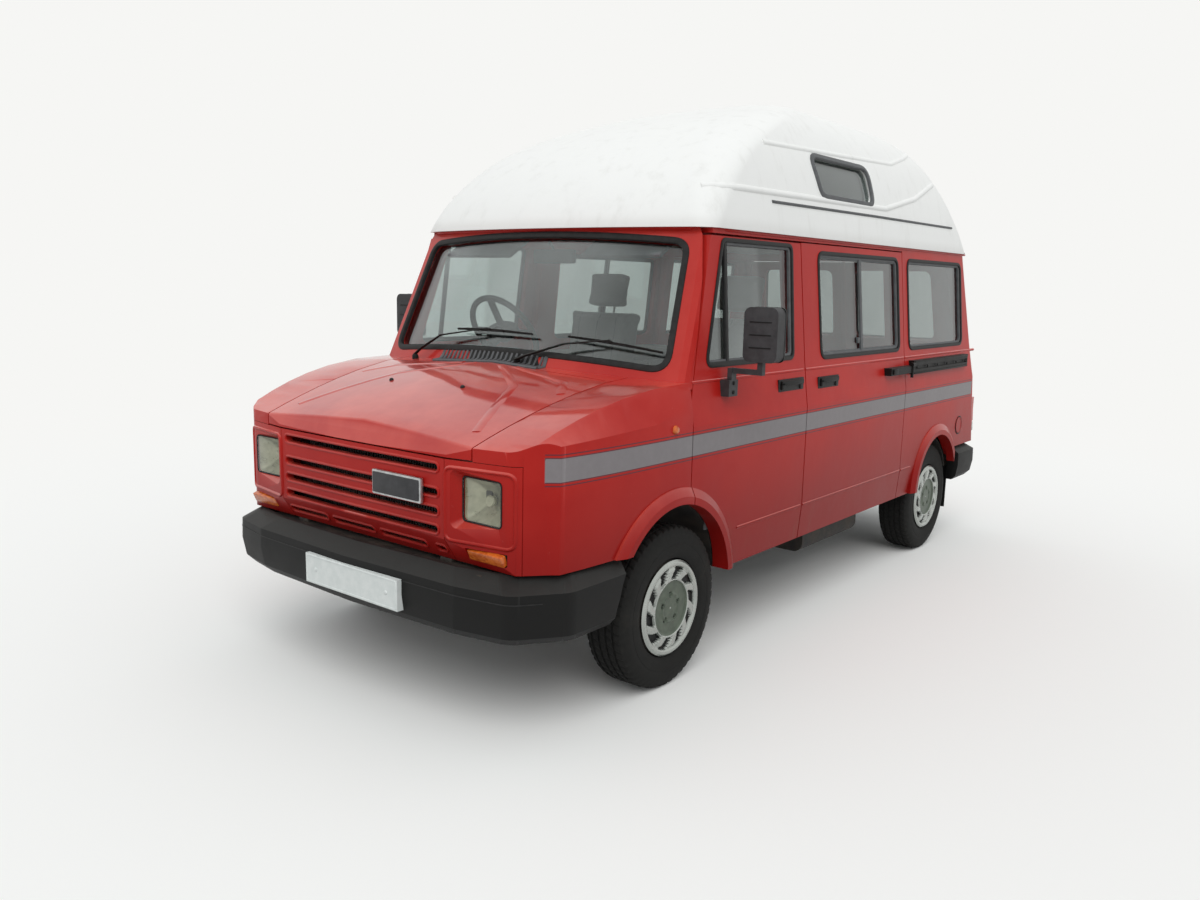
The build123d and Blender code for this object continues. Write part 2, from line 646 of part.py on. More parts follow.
def lamp_surround():
    """Funnel in front of the lamp, wide at the panel's face."""
    wider, deep = LAMP_RIM
    face = NOSE_Y + 12
    steps = [(1, face + deep), (wider, face), (wider + 10, face - 40)]
    return loft([lamp_outline(margin, y) for margin, y in steps], ruled=True)


def headlamp_left():
    """Headlamp whose lens sits back in its surround."""
    return front_mass(26) & lamp_space(1) & block(0, FAR, -FAR, NOSE_Y + 102, 0, FAR)


def indicator_space(margin):
    m = margin
    return block(HALF_WIDTH - 318 + m, HALF_WIDTH - 152 - m, -900, -700, 610 + m, 652 - m)


def indicator_left():
    return front_mass(2) & indicator_space(1) & block(0, FAR, -FAR, NOSE_Y + 106, 0, FAR)


def bonnet():
    """Bonnet with its turned-down front lip."""
    return FRONT_SHELL & bonnet_region(SHUT_GAP / 2)


# ---------------------------------------------------------------- roof
# slices of the moulded roof: share of its height, then y at the front on the centreline, front bow, rear y,
# half width, front corner radius and rear corner radius
ROOF_SLICES = [
    (0.000, 132, 106, REAR_FOOT_Y - 225, HALF_WIDTH - 65, 100, 70),
    (0.156, 192, 108, REAR_FOOT_Y - 275, HALF_WIDTH - 84, 130, 90),
    (0.329, 302, 106, REAR_FOOT_Y - 345, HALF_WIDTH - 114, 165, 120),
    (0.501, 468, 96, REAR_FOOT_Y - 425, HALF_WIDTH - 156, 200, 150),
    (0.673, 728, 84, REAR_FOOT_Y - 535, HALF_WIDTH - 218, 225, 170),
    (0.816, 1036, 70, REAR_FOOT_Y - 665, HALF_WIDTH - 306, 235, 180),
    (0.928, 1340, 50, REAR_FOOT_Y - 825, HALF_WIDTH - 442, 200, 170),
    (1.000, 1700, 30, REAR_FOOT_Y - 1055, HALF_WIDTH - 632, 120, 120),
]
ROOF_WALL = 30


def roof_slice(spec, inset, drop):
    share, front, bow, rear, half, front_r, rear_r = spec
    z = ROOF_JOINT_Z + share * (ROOF_TOP_Z - ROOF_JOINT_Z)
    w, f, r = half - inset, front + inset, rear - inset
    arc = ThreePointArc((-w, f + bow), (0, f), (w, f + bow))
    rest = Polyline((w, f + bow), (w, r), (-w, r), (-w, f + bow))
    face = make_face(arc + rest)
    fronts = [v for v in face.vertices() if v.Y < f + bow + 1]
    face = fillet(fronts, front_r)
    rears = [v for v in face.vertices() if v.Y > r - 1]
    face = fillet(rears, rear_r)
    return Pos(0, 0, z - drop) * face


def roof_form(inset):
    return loft([roof_slice(s, inset, inset) for s in ROOF_SLICES])



def high_roof():
    """Hollow moulded roof with a flange on the body and a window in each side."""
    shell = roof_form(0) - roof_form(ROOF_WALL)
    shell = shell - block(-FAR, FAR, -FAR, FAR, 0, ROOF_JOINT_Z)
    return shell - roof_window_space(0)


def roof_window_space(margin):
    y0, y1, z0, z1 = ROOF_WINDOW
    m = margin
    foot = [(y0 + 25 + m, z0 + m), (y1 - m, z0 + m)]
    return prism_yz(foot + [(y1 + 20 - m, z1 - m), (y0 + m, z1 - m)], -FAR, FAR, 50)


def roof_windows():
    return (roof_form(10) - roof_form(10 + GLASS)) & roof_window_space(SEAL_GAP)


# ---------------------------------------------------------------- chassis
def floor_pan():
    """Floor with sills, toe board and the housings of all four wheels."""
    y, z, r = FRONT_ARCH
    rear = rear_y(FLOOR_TOP_Z) - WALL - 40
    under = FLOOR_UNDER_Z
    front = FRONT_SHUT_Y - 16
    sill_front, sill_rear = y + r + 40, REAR_AXLE[0] - REAR_ARCH_INNER_R - 20
    tail_front, tail_rear = REAR_AXLE[0] + REAR_ARCH_INNER_R + 23, rear - 80
    inner = FLOOR_HALF - 12
    pan = block(-FLOOR_HALF, FLOOR_HALF, front, rear, under, FLOOR_TOP_Z)
    pan = pan + (INNER_FRAME & block(-FAR, FAR, sill_front, sill_rear, SILL_Z + 5, FLOOR_TOP_Z))
    pan = pan + (INNER_FRAME & block(-FAR, FAR, tail_front, tail_rear, under, NOSE_FOOT_Z + 60))
    pan = pan + both(block(inner, FLOOR_HALF + 23, sill_front, sill_rear, under, FLOOR_TOP_Z - 4))
    pan = pan + both(block(inner, FLOOR_HALF + 23, tail_front, tail_rear, under, FLOOR_TOP_Z - 4))
    toe = INNER_WING_X - 14
    pan = pan + block(-toe, toe, front, front + 12, under, TOE_TOP_Z)
    pan = pan + block(-inner, inner, front, front + 12, z + r + 10, TOE_TOP_Z)
    pan = pan - both(disc_x(y, z, r + 14, INNER_WING_X - 2, FAR))
    front_house = wheel_house(FRONT_ARCH, INNER_WING_X - 12, HALF_WIDTH - WALL - 11)
    front_house = front_house & block(0, FAR, FRONT_SHUT_Y, FAR, SILL_Z, FAR)
    wall_x = REAR_TYRE_X - TYRE_WIDTH / 2 - 60
    rear_house = wheel_house((*REAR_AXLE, REAR_ARCH_INNER_R - 2), wall_x, HALF_WIDTH - WALL - 13)
    rear_house = rear_house & block(0, FAR, 0, FAR, under, FAR)
    pan = pan - both(disc_x(*REAR_AXLE, REAR_ARCH_INNER_R, wall_x + 12, FAR))
    seat_box = block(SEAT_X - 210, SEAT_X + 210, SEAT_Y + 50, SEAT_Y + 440, FLOOR_TOP_Z - 1, SEAT_Z - 2)
    return pan + both(front_house) + both(rear_house) + both(seat_box)


TOE_TOP_Z = BELT_Z - 46      # the toe board ends under the dashboard


def wheel_house(arch, x_wall, x_lip):
    """Round housing over a left wheel, closed on its inner side."""
    y, z, r = arch
    return disc_x(y, z, r + 14, x_wall, x_lip) - disc_x(y, z, r + 2, x_wall + 12, x_lip + 20)


# bumper section: (share of its height, inset of its outer face)
BUMPER_SECTION = [(0, 34), (0.13, 10), (0.45, 0), (0.80, 2), (1, 58)]
BUMPER_WALL = 72
BUMPER_PROUD = 23           # stands out past the body's sides
BUMPER_FRONT_Z = (356, NOSE_FOOT_Z - 5)
BUMPER_REAR_Z = (372, REAR_FOOT_Z - 6)
# each bumper's face, arms' end, corner (along, across) and heights
FRONT_BUMPER = (BUMPER_FRONT_Y, FRONT_ARCH[0] - 282, (230, 120), BUMPER_FRONT_Z)
REAR_BUMPER = (BUMPER_REAR_Y, REAR_ARCH[0] + 348, (130, 70), BUMPER_REAR_Z)
PLATE = (520, 111)          # number plate
PLATE_PROUD = 8
MUDFLAP = (148, 8, 190)     # width, thickness, height of its lower edge


def bumper_plan(y_face, y_end, corner, inset):
    """Plan outline of a wrap-round bumper, filled in as far back as its arms reach."""
    d = 1 if y_end > y_face else -1
    x = HALF_WIDTH + BUMPER_PROUD - inset
    face = y_face + inset * d
    along, across = corner
    side = [(x, y_end), (x, face + along * d), (x - across, face + 60 * d), (x - 330, face + 20 * d)]
    outline = make_face(Polyline(*side, (0, face), *[(-px, py) for px, py in reversed(side)], close=True))
    bends = [v for v in outline.vertices() if abs(v.X) > 100 and abs(v.Y - y_end) > 1]
    return fillet(bends, 90)


def bumper_form(y_face, y_end, corner, heights):
    """Outer form of a bumper with a sloping upper edge."""
    low, high = heights
    levels = []
    for share, inset in BUMPER_SECTION:
        levels.append(Pos(0, 0, low + share * (high - low)) * bumper_plan(y_face, y_end, corner, inset))
    return loft(levels, ruled=True)


def bumper(y_face, y_end, corner, heights):
    """Bumper beam: the outer form less what lies behind its wall."""
    d = 1 if y_end > y_face else -1
    low, high = heights
    plan = bumper_plan(y_face, y_end + 40 * d, corner, BUMPER_WALL)
    hollow = Pos(0, 0, low - 10) * extrude(plan, high - low + 20)
    return bumper_form(y_face, y_end, corner, heights) - hollow


def number_plate(x, y, form, z):
    """Plain plate standing proud of a bumper's face."""
    half = PLATE[0] / 2
    out, back = sorted((y, y + (30 + PLATE_PROUD) * (1 if y < 0 else -1)))
    return block(x - half, x + half, out, back, z, z + PLATE[1]) - form


def number_plates():
    """Blank plates at the front and rear."""
    front, rear = bumper_form(*FRONT_BUMPER), bumper_form(*REAR_BUMPER)
    front_face, rear_face = BUMPER_FRONT_Y - PLATE_PROUD, BUMPER_REAR_Y + PLATE_PROUD
    front_plate = number_plate(46, front_face, front, BUMPER_FRONT_Z[0] + 42)
    return front_plate + number_plate(0, rear_face, rear, BUMPER_REAR_Z[0] + 48)


def bumpers():
    """Front and rear bumpers, the towball's plate and the rear mudflaps."""
    front = bumper(*FRONT_BUMPER) - both(arch_cut(FRONT_ARCH, HALF_WIDTH - 362, FAR, 6))
    rear = bumper(*REAR_BUMPER)
    tow_y = BUMPER_REAR_Y - 66
    plate = block(-80, 80, tow_y, tow_y + 14, TOW_Z - 36, BUMPER_REAR_Z[0] + 28)
    for x in (-TOW_SPACING / 2, TOW_SPACING / 2):
        plate = plate - Pos(x, tow_y, TOW_Z) * Rot(90, 0, 0) * Cylinder(TOW_HOLE_R, 60)
    width, thick, foot = MUDFLAP
    flap_y = REAR_ARCH[0] + 368
    x0, x1 = REAR_TYRE_X - width / 2, REAR_TYRE_X + width / 2
    flap = block(x0, x1, flap_y, flap_y + thick, foot, FLOOR_UNDER_Z - 1)
    return front + rear + plate + both(flap)


EYE_Z = (292, 348)          # the axle's eyes between the knuckles' yokes
EYE_AIR = 4
YOKE_T = 24
TIE_ROD_Z = 246
TIE_ROD_R = 9
BALL_R = 7
BEAM_TOP_Z = 322


def front_axle():
    """Beam axle with an eye for each kingpin, on its two leaf springs."""
    reach = KINGPIN_X - 50
    beam = block(-reach, reach, -28, 28, 270, BEAM_TOP_Z)
    eye = post(KINGPIN_X, 0, 24, *EYE_Z) + block(reach - 10, KINGPIN_X - 5, -20, 20, *EYE_Z)
    beam = beam + both(eye) - both(post(KINGPIN_X, 0, KINGPIN_R + RUNNING, 0, 600))
    spring = leaf(SEAT_X + 30, -560, 560, BEAM_TOP_Z - 1, 375, 56)
    return beam + both(spring)


def knuckle_left():
    """Kingpin, yoke, stub axle and steering arm with the tie rod's pin."""
    low, high = EYE_Z[0] - EYE_AIR, EYE_Z[1] + EYE_AIR
    x, y = KINGPIN_X, STEER_ARM
    yoke = block(x - 20, x + 40, -22, 22, low - YOKE_T, low)
    yoke = yoke + block(x - 20, x + 40, -22, 22, high, high + YOKE_T)
    yoke = yoke + block(x + 28, x + 40, -22, 22, low - YOKE_T, high + YOKE_T)
    pin = post(x, 0, KINGPIN_R, low - YOKE_T, high + YOKE_T)
    stub = disc_x(0, TYRE_R, STUB_R, x + 38, FRONT_HUB_X - 26)
    arm_low, arm_high = low - YOKE_T, low - YOKE_T + 14
    arm = prism_xy([(x - 14, 10), (x + 14, 10), (x + 10, y), (x - 10, y)], arm_low, arm_high)
    arm = arm + post(x, y, 14, arm_low, arm_high)
    return yoke + pin + stub + arm + post(x, y, BALL_R, TIE_ROD_Z - 12, arm_low)


def tie_rod():
    """Rod between the two steering arms, with an eye on each pin."""
    rod = disc_x(STEER_ARM, TIE_ROD_Z, TIE_ROD_R, 10 - KINGPIN_X, KINGPIN_X - 10)
    rod = rod + both(post(KINGPIN_X, STEER_ARM, 15, TIE_ROD_Z - 8, TIE_ROD_Z + 10))
    return rod - both(post(KINGPIN_X, STEER_ARM, BALL_R + 3 * RUNNING, 0, 600))


GEARBOX_END_Y = 450
PROPSHAFT_R = 32


def rear_axle():
    """Tube axle with its differential, propshaft, a stub for each wheel and two leaf springs."""
    y, z = REAR_AXLE
    flange = REAR_TYRE_X - 138
    housing = disc_x(y, z, 118, -88, 88)
    housing = fillet(housing.edges().filter_by(GeomType.CIRCLE), 44)
    axle = housing + disc_x(y, z, 36, -flange, flange)
    axle = axle + disc_x(y, z, STUB_R, 26 - REAR_HUB_X, REAR_HUB_X - 26)
    axle = axle + both(disc_x(y, z, 60, flange, flange + 12))
    front, back = GEARBOX_END_Y + 3, y - 90
    shaft = Pos(0, (front + back) / 2, z + 20) * Rot(90, 0, 0) * Cylinder(PROPSHAFT_R, back - front)
    spring = leaf(REAR_SPRING_X, y - 640, y + 640, z + 30, 415, 60)
    return axle + shaft + both(spring)


def leaf(x, y0, y1, z_seat, z_eye, width):
    """Leaf spring bundle: a shallow bow under the floor with an eye at each end."""
    mid = (y0 + y1) / 2
    spine = ThreePointArc((y0, z_eye), (mid, z_seat), (y1, z_eye))
    upper = ThreePointArc((y1, z_eye + 12), (mid, z_seat + 26), (y0, z_eye + 12))
    ends = Line((y1, z_eye), (y1, z_eye + 12)) + Line((y0, z_eye + 12), (y0, z_eye))
    face = make_face(spine + upper + ends)
    side = x - width / 2
    plane = Plane(origin=(side, 0, 0), x_dir=(0, 1, 0), z_dir=(1, 0, 0))
    spring = plane * extrude(face, width)
    for y in (y0, y1):
        spring = spring + disc_x(y, z_eye + 8, 20, side, side + width)
    return spring


def engine():
    """Engine and gearbox as plain blocks at their real size and place, and the radiator."""
    motor = block(-240, 240, -560, -10, 420, 960)
    gearbox = block(-150, 150, -11, GEARBOX_END_Y, 345, FLOOR_UNDER_Z - 10)
    half = GRILLE_HALF - 50
    radiator = block(-half, half, NOSE_Y + 106, NOSE_Y + 166, NOSE_FOOT_Z + 15, LIP_Z - 14)
    return motor + gearbox + radiator


def exhaust():
    """Pipe from the engine to the tail, under the rear axle, with its silencer."""
    x, middle, axle_y = -285, WHEELBASE / 2, REAR_AXLE[0]
    points = [(x, -250, 400), (x, 300, 300), (x, middle - 150, 300)]
    points += [(x - 45, middle + 550, 300), (x - 145, axle_y - 200, 225)]
    points += [(x - 145, axle_y + 400, 225), (x - 145, axle_y + 700, 260)]
    path = FilletPolyline(*points, radius=60)
    pipe = sweep(Plane(origin=path @ 0, z_dir=path % 0) * Circle(24), path=path)
    return pipe + Pos(x - 15, middle, 300) * Rot(90, 0, 0) * Cylinder(85, 520)


def fuel_tank():
    tank = block(230, KINGPIN_X, WHEELBASE / 2 + 30, WHEELBASE - 690, 215, FLOOR_UNDER_Z - 2)
    return fillet(tank.edges().filter_by(Axis.Y), 50)


# ---------------------------------------------------------------- wheels
TYRE_SIDES = 56             # flats round the tyre, which stands on one of them
TYRE_BEVEL = 24             # shoulders and beads


def tyre_outline(radius):
    """The flats round the tyre or its bore, one of them down."""
    return RegularPolygon(radius, TYRE_SIDES, major_radius=False, rotation=180 / TYRE_SIDES)


def tyre(x):
    """Tyre on the left at wheel centre x, y 0: a ring of flat faces, bevelled at shoulders and beads."""
    ring = extrude(tyre_outline(TYRE_R) - tyre_outline(RIM_R), TYRE_WIDTH / 2, both=True)
    rims = ring.edges().filter_by(Axis.Z, reverse=True)
    return Pos(x, 0, TYRE_R) * Rot(0, 90, 0) * chamfer(rims, TYRE_BEVEL)


TRIM_SLOTS = 10


def wheel(hub_x, tyre_x):
    """Rim, disc and trim of a left wheel, with vane slots in the trim."""
    inner, outer = tyre_x - RIM_WIDTH / 2, tyre_x + RIM_WIDTH / 2
    barrel = disc_x(0, TYRE_R, RIM_R - 0.3, inner, outer)
    barrel = barrel - disc_x(0, TYRE_R, RIM_R - 14, inner - 5, outer - 22)
    hub = disc_x(0, TYRE_R, 58, outer - 60, outer - 20) + disc_x(0, TYRE_R, 34, tyre_x - 6, outer - 20)
    trim = disc_x(0, TYRE_R, RIM_R, outer - 4, hub_x)
    rim_edge = trim.edges().filter_by(GeomType.CIRCLE).sort_by(Axis.X)[-1]
    trim = chamfer(rim_edge, 8, 14)
    trim = trim - disc_x(0, TYRE_R, 62, hub_x - 5, hub_x + 1)
    for k in range(TRIM_SLOTS):
        turned = Pos(hub_x - 12, 0, TYRE_R) * Rot(360 / TRIM_SLOTS * k, 0, 0)
        trim = trim - turned * Pos(0, 0, 148) * Rot(24, 0, 0) * Box(30, 30, 48)
    body = barrel + hub + trim
    return body - disc_x(0, TYRE_R, STUB_R + RUNNING, 0, hub_x - 20)


# ---------------------------------------------------------------- cab
STEERING_HUB = (452 - HALF_WIDTH, 380, BELT_Z + 119)
STEERING_LEAN = 32          # the wheel's plane leans from upright


def steering_wheel():
    """Rim, two spokes, boss and column."""
    rim = Torus(185, 14)
    spokes = Box(350, 34, 12) + Pos(0, -80, 0) * Box(34, 180, 12)
    boss = Cylinder(46, 50)
    column = Pos(0, 0, -120) * Cylinder(22, 200)
    return Pos(*STEERING_HUB) * Rot(STEERING_LEAN - 90, 0, 0) * (rim + spokes + boss + column)


def dashboard():
    """Dashboard across the cab, its top under the windscreen."""
    z = BELT_Z
    outline = [(90, z - 266), (80, z - 16), (110, z + 12), (300, z + 20), (345, z - 16)]
    outline += [(330, z - 106), (270, z - 186), (250, z - 266)]
    board = prism_yz(outline, 110 - HALF_WIDTH, HALF_WIDTH - 110)
    column = Pos(*STEERING_HUB) * Rot(STEERING_LEAN - 90, 0, 0) * Pos(0, 0, -130) * Cylinder(34, 320)
    return board - column


SEAT_Y = 590                # front edge of the seat cushions
SEAT_Z = 770                # underside of the seat cushions
CUSHION = (470, 470, 135)
BACK_LEAN = 10


def seat_left():
    """Cushion, back and headrest of one front seat, with gaps between them."""
    width, depth, height = CUSHION
    hinge = Pos(SEAT_X, SEAT_Y + depth - 50, SEAT_Z + height) * Rot(-BACK_LEAN, 0, 0)
    cushion = block(SEAT_X - width / 2, SEAT_X + width / 2, SEAT_Y, SEAT_Y + depth, SEAT_Z, SEAT_Z + height)
    cushion = fillet(cushion.edges().filter_by(Axis.Z), 40)
    back = hinge * block(10 - width / 2, width / 2 - 10, 0, 120, 14, 500)
    back = fillet(back.edges().sort_by(Axis.Z)[-4:], 30)
    head = hinge * block(-120, 120, 25, 105, 506, 690)
    head = fillet(head.edges().sort_by(Axis.Z)[-4:], 25)
    return cushion + back + head


MIRROR_Y = (FRONT_SHUT_Y + 214, FRONT_SHUT_Y + 274)
MIRROR_Z = (BELT_Z + 74, BELT_Z + 280)


def mirror_left():
    """Mirror head on a bent arm from a bracket on the door."""
    w, (y0, y1), (z0, z1) = HALF_WIDTH, MIRROR_Y, MIRROR_Z
    head = block(w + 70, w + 214, y0, y1, z0, z1)
    head = fillet(head.edges().filter_by(Axis.Y), 28)
    arm = block(w + 4, w + 150, y0 + 14, y0 + 38, z0 - 50, z0 - 30)
    arm = arm + block(w + 128, w + 150, y0 + 14, y0 + 38, z0 - 50, z0 + 2)
    bracket = block(w - 40, w + 22, y0 - 7, y0 + 58, z0 - 140, z0 - 76) - body_mass(0)
    stalk = block(w + 2, w + 22, y0 + 8, y0 + 44, z0 - 140, z0 - 30)
    return head + arm + bracket + stalk


RAIL_Z = (BELT_Z - 94, BELT_Z - 20)


def slide_rail():
    """Rail on the rear quarter and the roller bracket at the sliding door's rear edge."""
    w, skin = HALF_WIDTH, body_mass(0)
    low, high = RAIL_Z
    front, rear = SLIDE_SHUT_Y + 60, REAR_FOOT_Y - 300
    groove = block(w + 4, w + 20, front + 15, rear - 15, low + 26, high - 26)
    rail = block(w - 162, w + 12, front, rear, low, high) - skin - groove
    carrier = block(w - 162, w + 24, SLIDE_SHUT_Y - 275, SLIDE_SHUT_Y + 35, low + 12, high - 24) - skin
    return rail + carrier


def tail_lamps():
    z0, z1 = REAR_FOOT_Z + 55, REAR_FOOT_Z + 275
    y = rear_y((z0 + z1) / 2)
    return both(block(HALF_WIDTH - 64, HALF_WIDTH - 18, y - 40, y + 14, z0, z1) - body_mass(0))


# ---------------------------------------------------------------- write everything
def fixed_glass():
    """Windscreen, side windows and roof windows."""
    lean_glass = (screen_drum(20) - screen_drum(20 + GLASS)) & screen_opening(SEAL_GAP)
    panes = glass_pane(rectangle(*SLIDE_WINDOW, SEAL_GAP), 14)
    panes = panes + glass_pane(rectangle(*QUARTER_WINDOW, SEAL_GAP), 14)
    return lean_glass + both(panes) + roof_windows()


def main():
    os.makedirs("parts", exist_ok=True)
    door = front_door_left()
    pane = glass_pane(door_window_outline(SEAL_GAP), 14, 28)
    rear = rear_door_left()
    rear_pane = rear_glass_left()
    knuckle = knuckle_left()
    front_wheel = wheel(FRONT_HUB_X, FRONT_TYRE_X)
    rear_wheel = Pos(0, WHEELBASE, 0) * wheel(REAR_HUB_X, REAR_TYRE_X)
    front_tyre = tyre(FRONT_TYRE_X)
    rear_tyre = Pos(0, WHEELBASE, 0) * tyre(REAR_TYRE_X)
    write("floor_pan", floor_pan())
    write("side_panel_left", side_panel(True))
    write("side_panel_right", mirrored(side_panel(False)))
    write("rear_frame", rear_frame())
    write("sliding_door", sliding_door())
    write("screen_frame", screen_frame())
    write("high_roof", high_roof())
    write("front_wings", both(front_wing_left()))
    write("front_panels", front_panels())
    write("bumpers", bumpers())
    write("front_lamps", both(headlamp_left()) + both(indicator_left()))
    write("tail_lamps", tail_lamps())
    write("number_plates", number_plates())
    write("fixed_glass", fixed_glass())
    write("slide_rail", slide_rail())
    write("dashboard", dashboard())
    write("seats", both(seat_left()))
    write("front_axle", front_axle())
    write("rear_axle", rear_axle())
    write("engine", engine())
    write("exhaust", exhaust())
    write("fuel_tank", fuel_tank())
    write("steering_wheel", steering_wheel())
    write("bonnet", bonnet())
    write("tie_rod", tie_rod())
    for name, turn in (("left", lambda p: p), ("right", mirrored)):
        write(f"front_door_{name}", turn(door))
        write(f"front_door_glass_{name}", turn(pane))
        write(f"mirror_{name}", turn(mirror_left()))
        write(f"rear_door_{name}", turn(rear))
        write(f"rear_door_glass_{name}", turn(rear_pane))
        write(f"knuckle_{name}", turn(knuckle))
        write(f"front_tyre_{name}", turn(front_tyre))
        write(f"front_wheel_{name}", turn(front_wheel))
        write(f"rear_tyre_{name}", turn(rear_tyre))
        write(f"rear_wheel_{name}", turn(rear_wheel))


main()
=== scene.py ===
"""Looks for the high-top camper van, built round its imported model.

Lengths are millimetres with Y = 0 at the front axle, unless a comment says metres.
"""
import json
import math

import bmesh
import bpy
from mathutils import Matrix, Vector
from mathutils.bvhtree import BVHTree


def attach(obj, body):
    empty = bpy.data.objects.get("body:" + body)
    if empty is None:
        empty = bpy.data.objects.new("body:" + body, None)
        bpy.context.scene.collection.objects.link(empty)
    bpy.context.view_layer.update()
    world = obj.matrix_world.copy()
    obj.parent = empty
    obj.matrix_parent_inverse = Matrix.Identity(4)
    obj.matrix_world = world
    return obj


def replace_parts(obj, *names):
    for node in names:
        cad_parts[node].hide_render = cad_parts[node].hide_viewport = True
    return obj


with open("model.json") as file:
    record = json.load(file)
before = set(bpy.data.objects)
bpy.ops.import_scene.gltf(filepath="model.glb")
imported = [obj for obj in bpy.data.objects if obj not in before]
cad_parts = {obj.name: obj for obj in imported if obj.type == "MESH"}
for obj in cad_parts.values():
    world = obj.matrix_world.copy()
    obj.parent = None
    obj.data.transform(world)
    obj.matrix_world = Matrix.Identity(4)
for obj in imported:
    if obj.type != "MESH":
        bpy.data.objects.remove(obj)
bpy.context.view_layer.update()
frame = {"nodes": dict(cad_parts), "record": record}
NODES = frame["nodes"]
SIDES = (("left", 1), ("right", -1))

MID_Y = 1302                 # the row's origin is this far behind the front axle
WHEELBASE = 2700
HALF_WIDTH = 862
BELT_Z = 1166                # crease along the side at the bonnet's height
SILL_Z = 552
ROOF_JOINT_Z = 1741
REAR_FOOT_Y, REAR_FOOT_Z, REAR_LEAN = WHEELBASE + 685, 585, 0.19
FRONT_SHUT_Y, FRONT_SHUT_HEAD_Y = 78, 262
REAR_SHUT_Y, SLIDE_SHUT_Y = 1003, WHEELBASE - 545
SCREEN_FOOT, SCREEN_HEAD, SCREEN_BEND_R = (-54, 1235), (158, 1725), 3300
SCREEN_LEAN = math.atan2(SCREEN_HEAD[0] - SCREEN_FOOT[0], SCREEN_HEAD[1] - SCREEN_FOOT[1])
SCREEN_OPENING = ((HALF_WIDTH - 101, 1243), (HALF_WIDTH - 155, 1714))
NOSE_Y = -806
FRONT_BUMPER_Y, REAR_BUMPER_Y = -866, REAR_FOOT_Y + 85
TYRE_R, RIM_R = 314, 186
STEERING_HUB, STEERING_LEAN = (-410, 380, 1285), 32
BACK = Vector((0, 1, REAR_LEAN)).normalized()      # outwards from the rear doors


def at(x, y, z):
    """A point given in millimetres from the front axle, as a point of the row in metres."""
    return Vector((x / 1000, (y - MID_Y) / 1000, z / 1000))


def spaced(a, b, parts):
    """Numbers from a to b, both included."""
    return [a + (b - a) * k / parts for k in range(parts + 1)]


def turns(count):
    """Angles of equal steps round a circle."""
    return [2 * math.pi * k / count for k in range(count)]


def new_object(name, data):
    """An object in the scene, for a mesh, lamp or camera."""
    made = bpy.data.objects.new(name, data)
    bpy.context.scene.collection.objects.link(made)
    return made


# ---------------------------------------------------------------- camera and light
CAMERA_PLACE = at(2818.4, -2949.9, 1524.4)
CAMERA_DEGREES = (38.372, -9.762, 1.2935)          # turned left, tipped up, rolled
LENS_MM, SENSOR_MM = 29.216, 36


def make_camera():
    """Camera at eye height, ahead of the van and to its left."""
    yaw, pitch, roll = (math.radians(a) for a in CAMERA_DEGREES)
    look = Vector((-math.sin(yaw) * math.cos(pitch), math.cos(yaw) * math.cos(pitch), math.sin(pitch)))
    right = Vector((math.cos(yaw), math.sin(yaw), 0))
    up = right.cross(look)
    side = math.cos(roll) * right + math.sin(roll) * up
    top = -math.sin(roll) * right + math.cos(roll) * up
    data = bpy.data.cameras.new("camera")
    data.lens = LENS_MM
    data.sensor_width = SENSOR_MM
    data.sensor_fit = "HORIZONTAL"
    data.clip_end = 200
    cam = new_object("camera", data)
    turn = Matrix((side, top, -look)).transposed().to_4x4()
    cam.matrix_world = Matrix.Translation(CAMERA_PLACE) @ turn
    bpy.context.scene.camera = cam


def sun_light(name, direction, strength, angle):
    """Broad soft sunlight travelling along a direction, whose disc no metal or glass shows."""
    data = bpy.data.lights.new(name, "SUN")
    data.energy = strength
    data.angle = math.radians(angle)
    lamp = new_object(name, data)
    lamp.rotation_euler = Vector(direction).to_track_quat("-Z", "Y").to_euler()
    lamp.visible_glossy = False


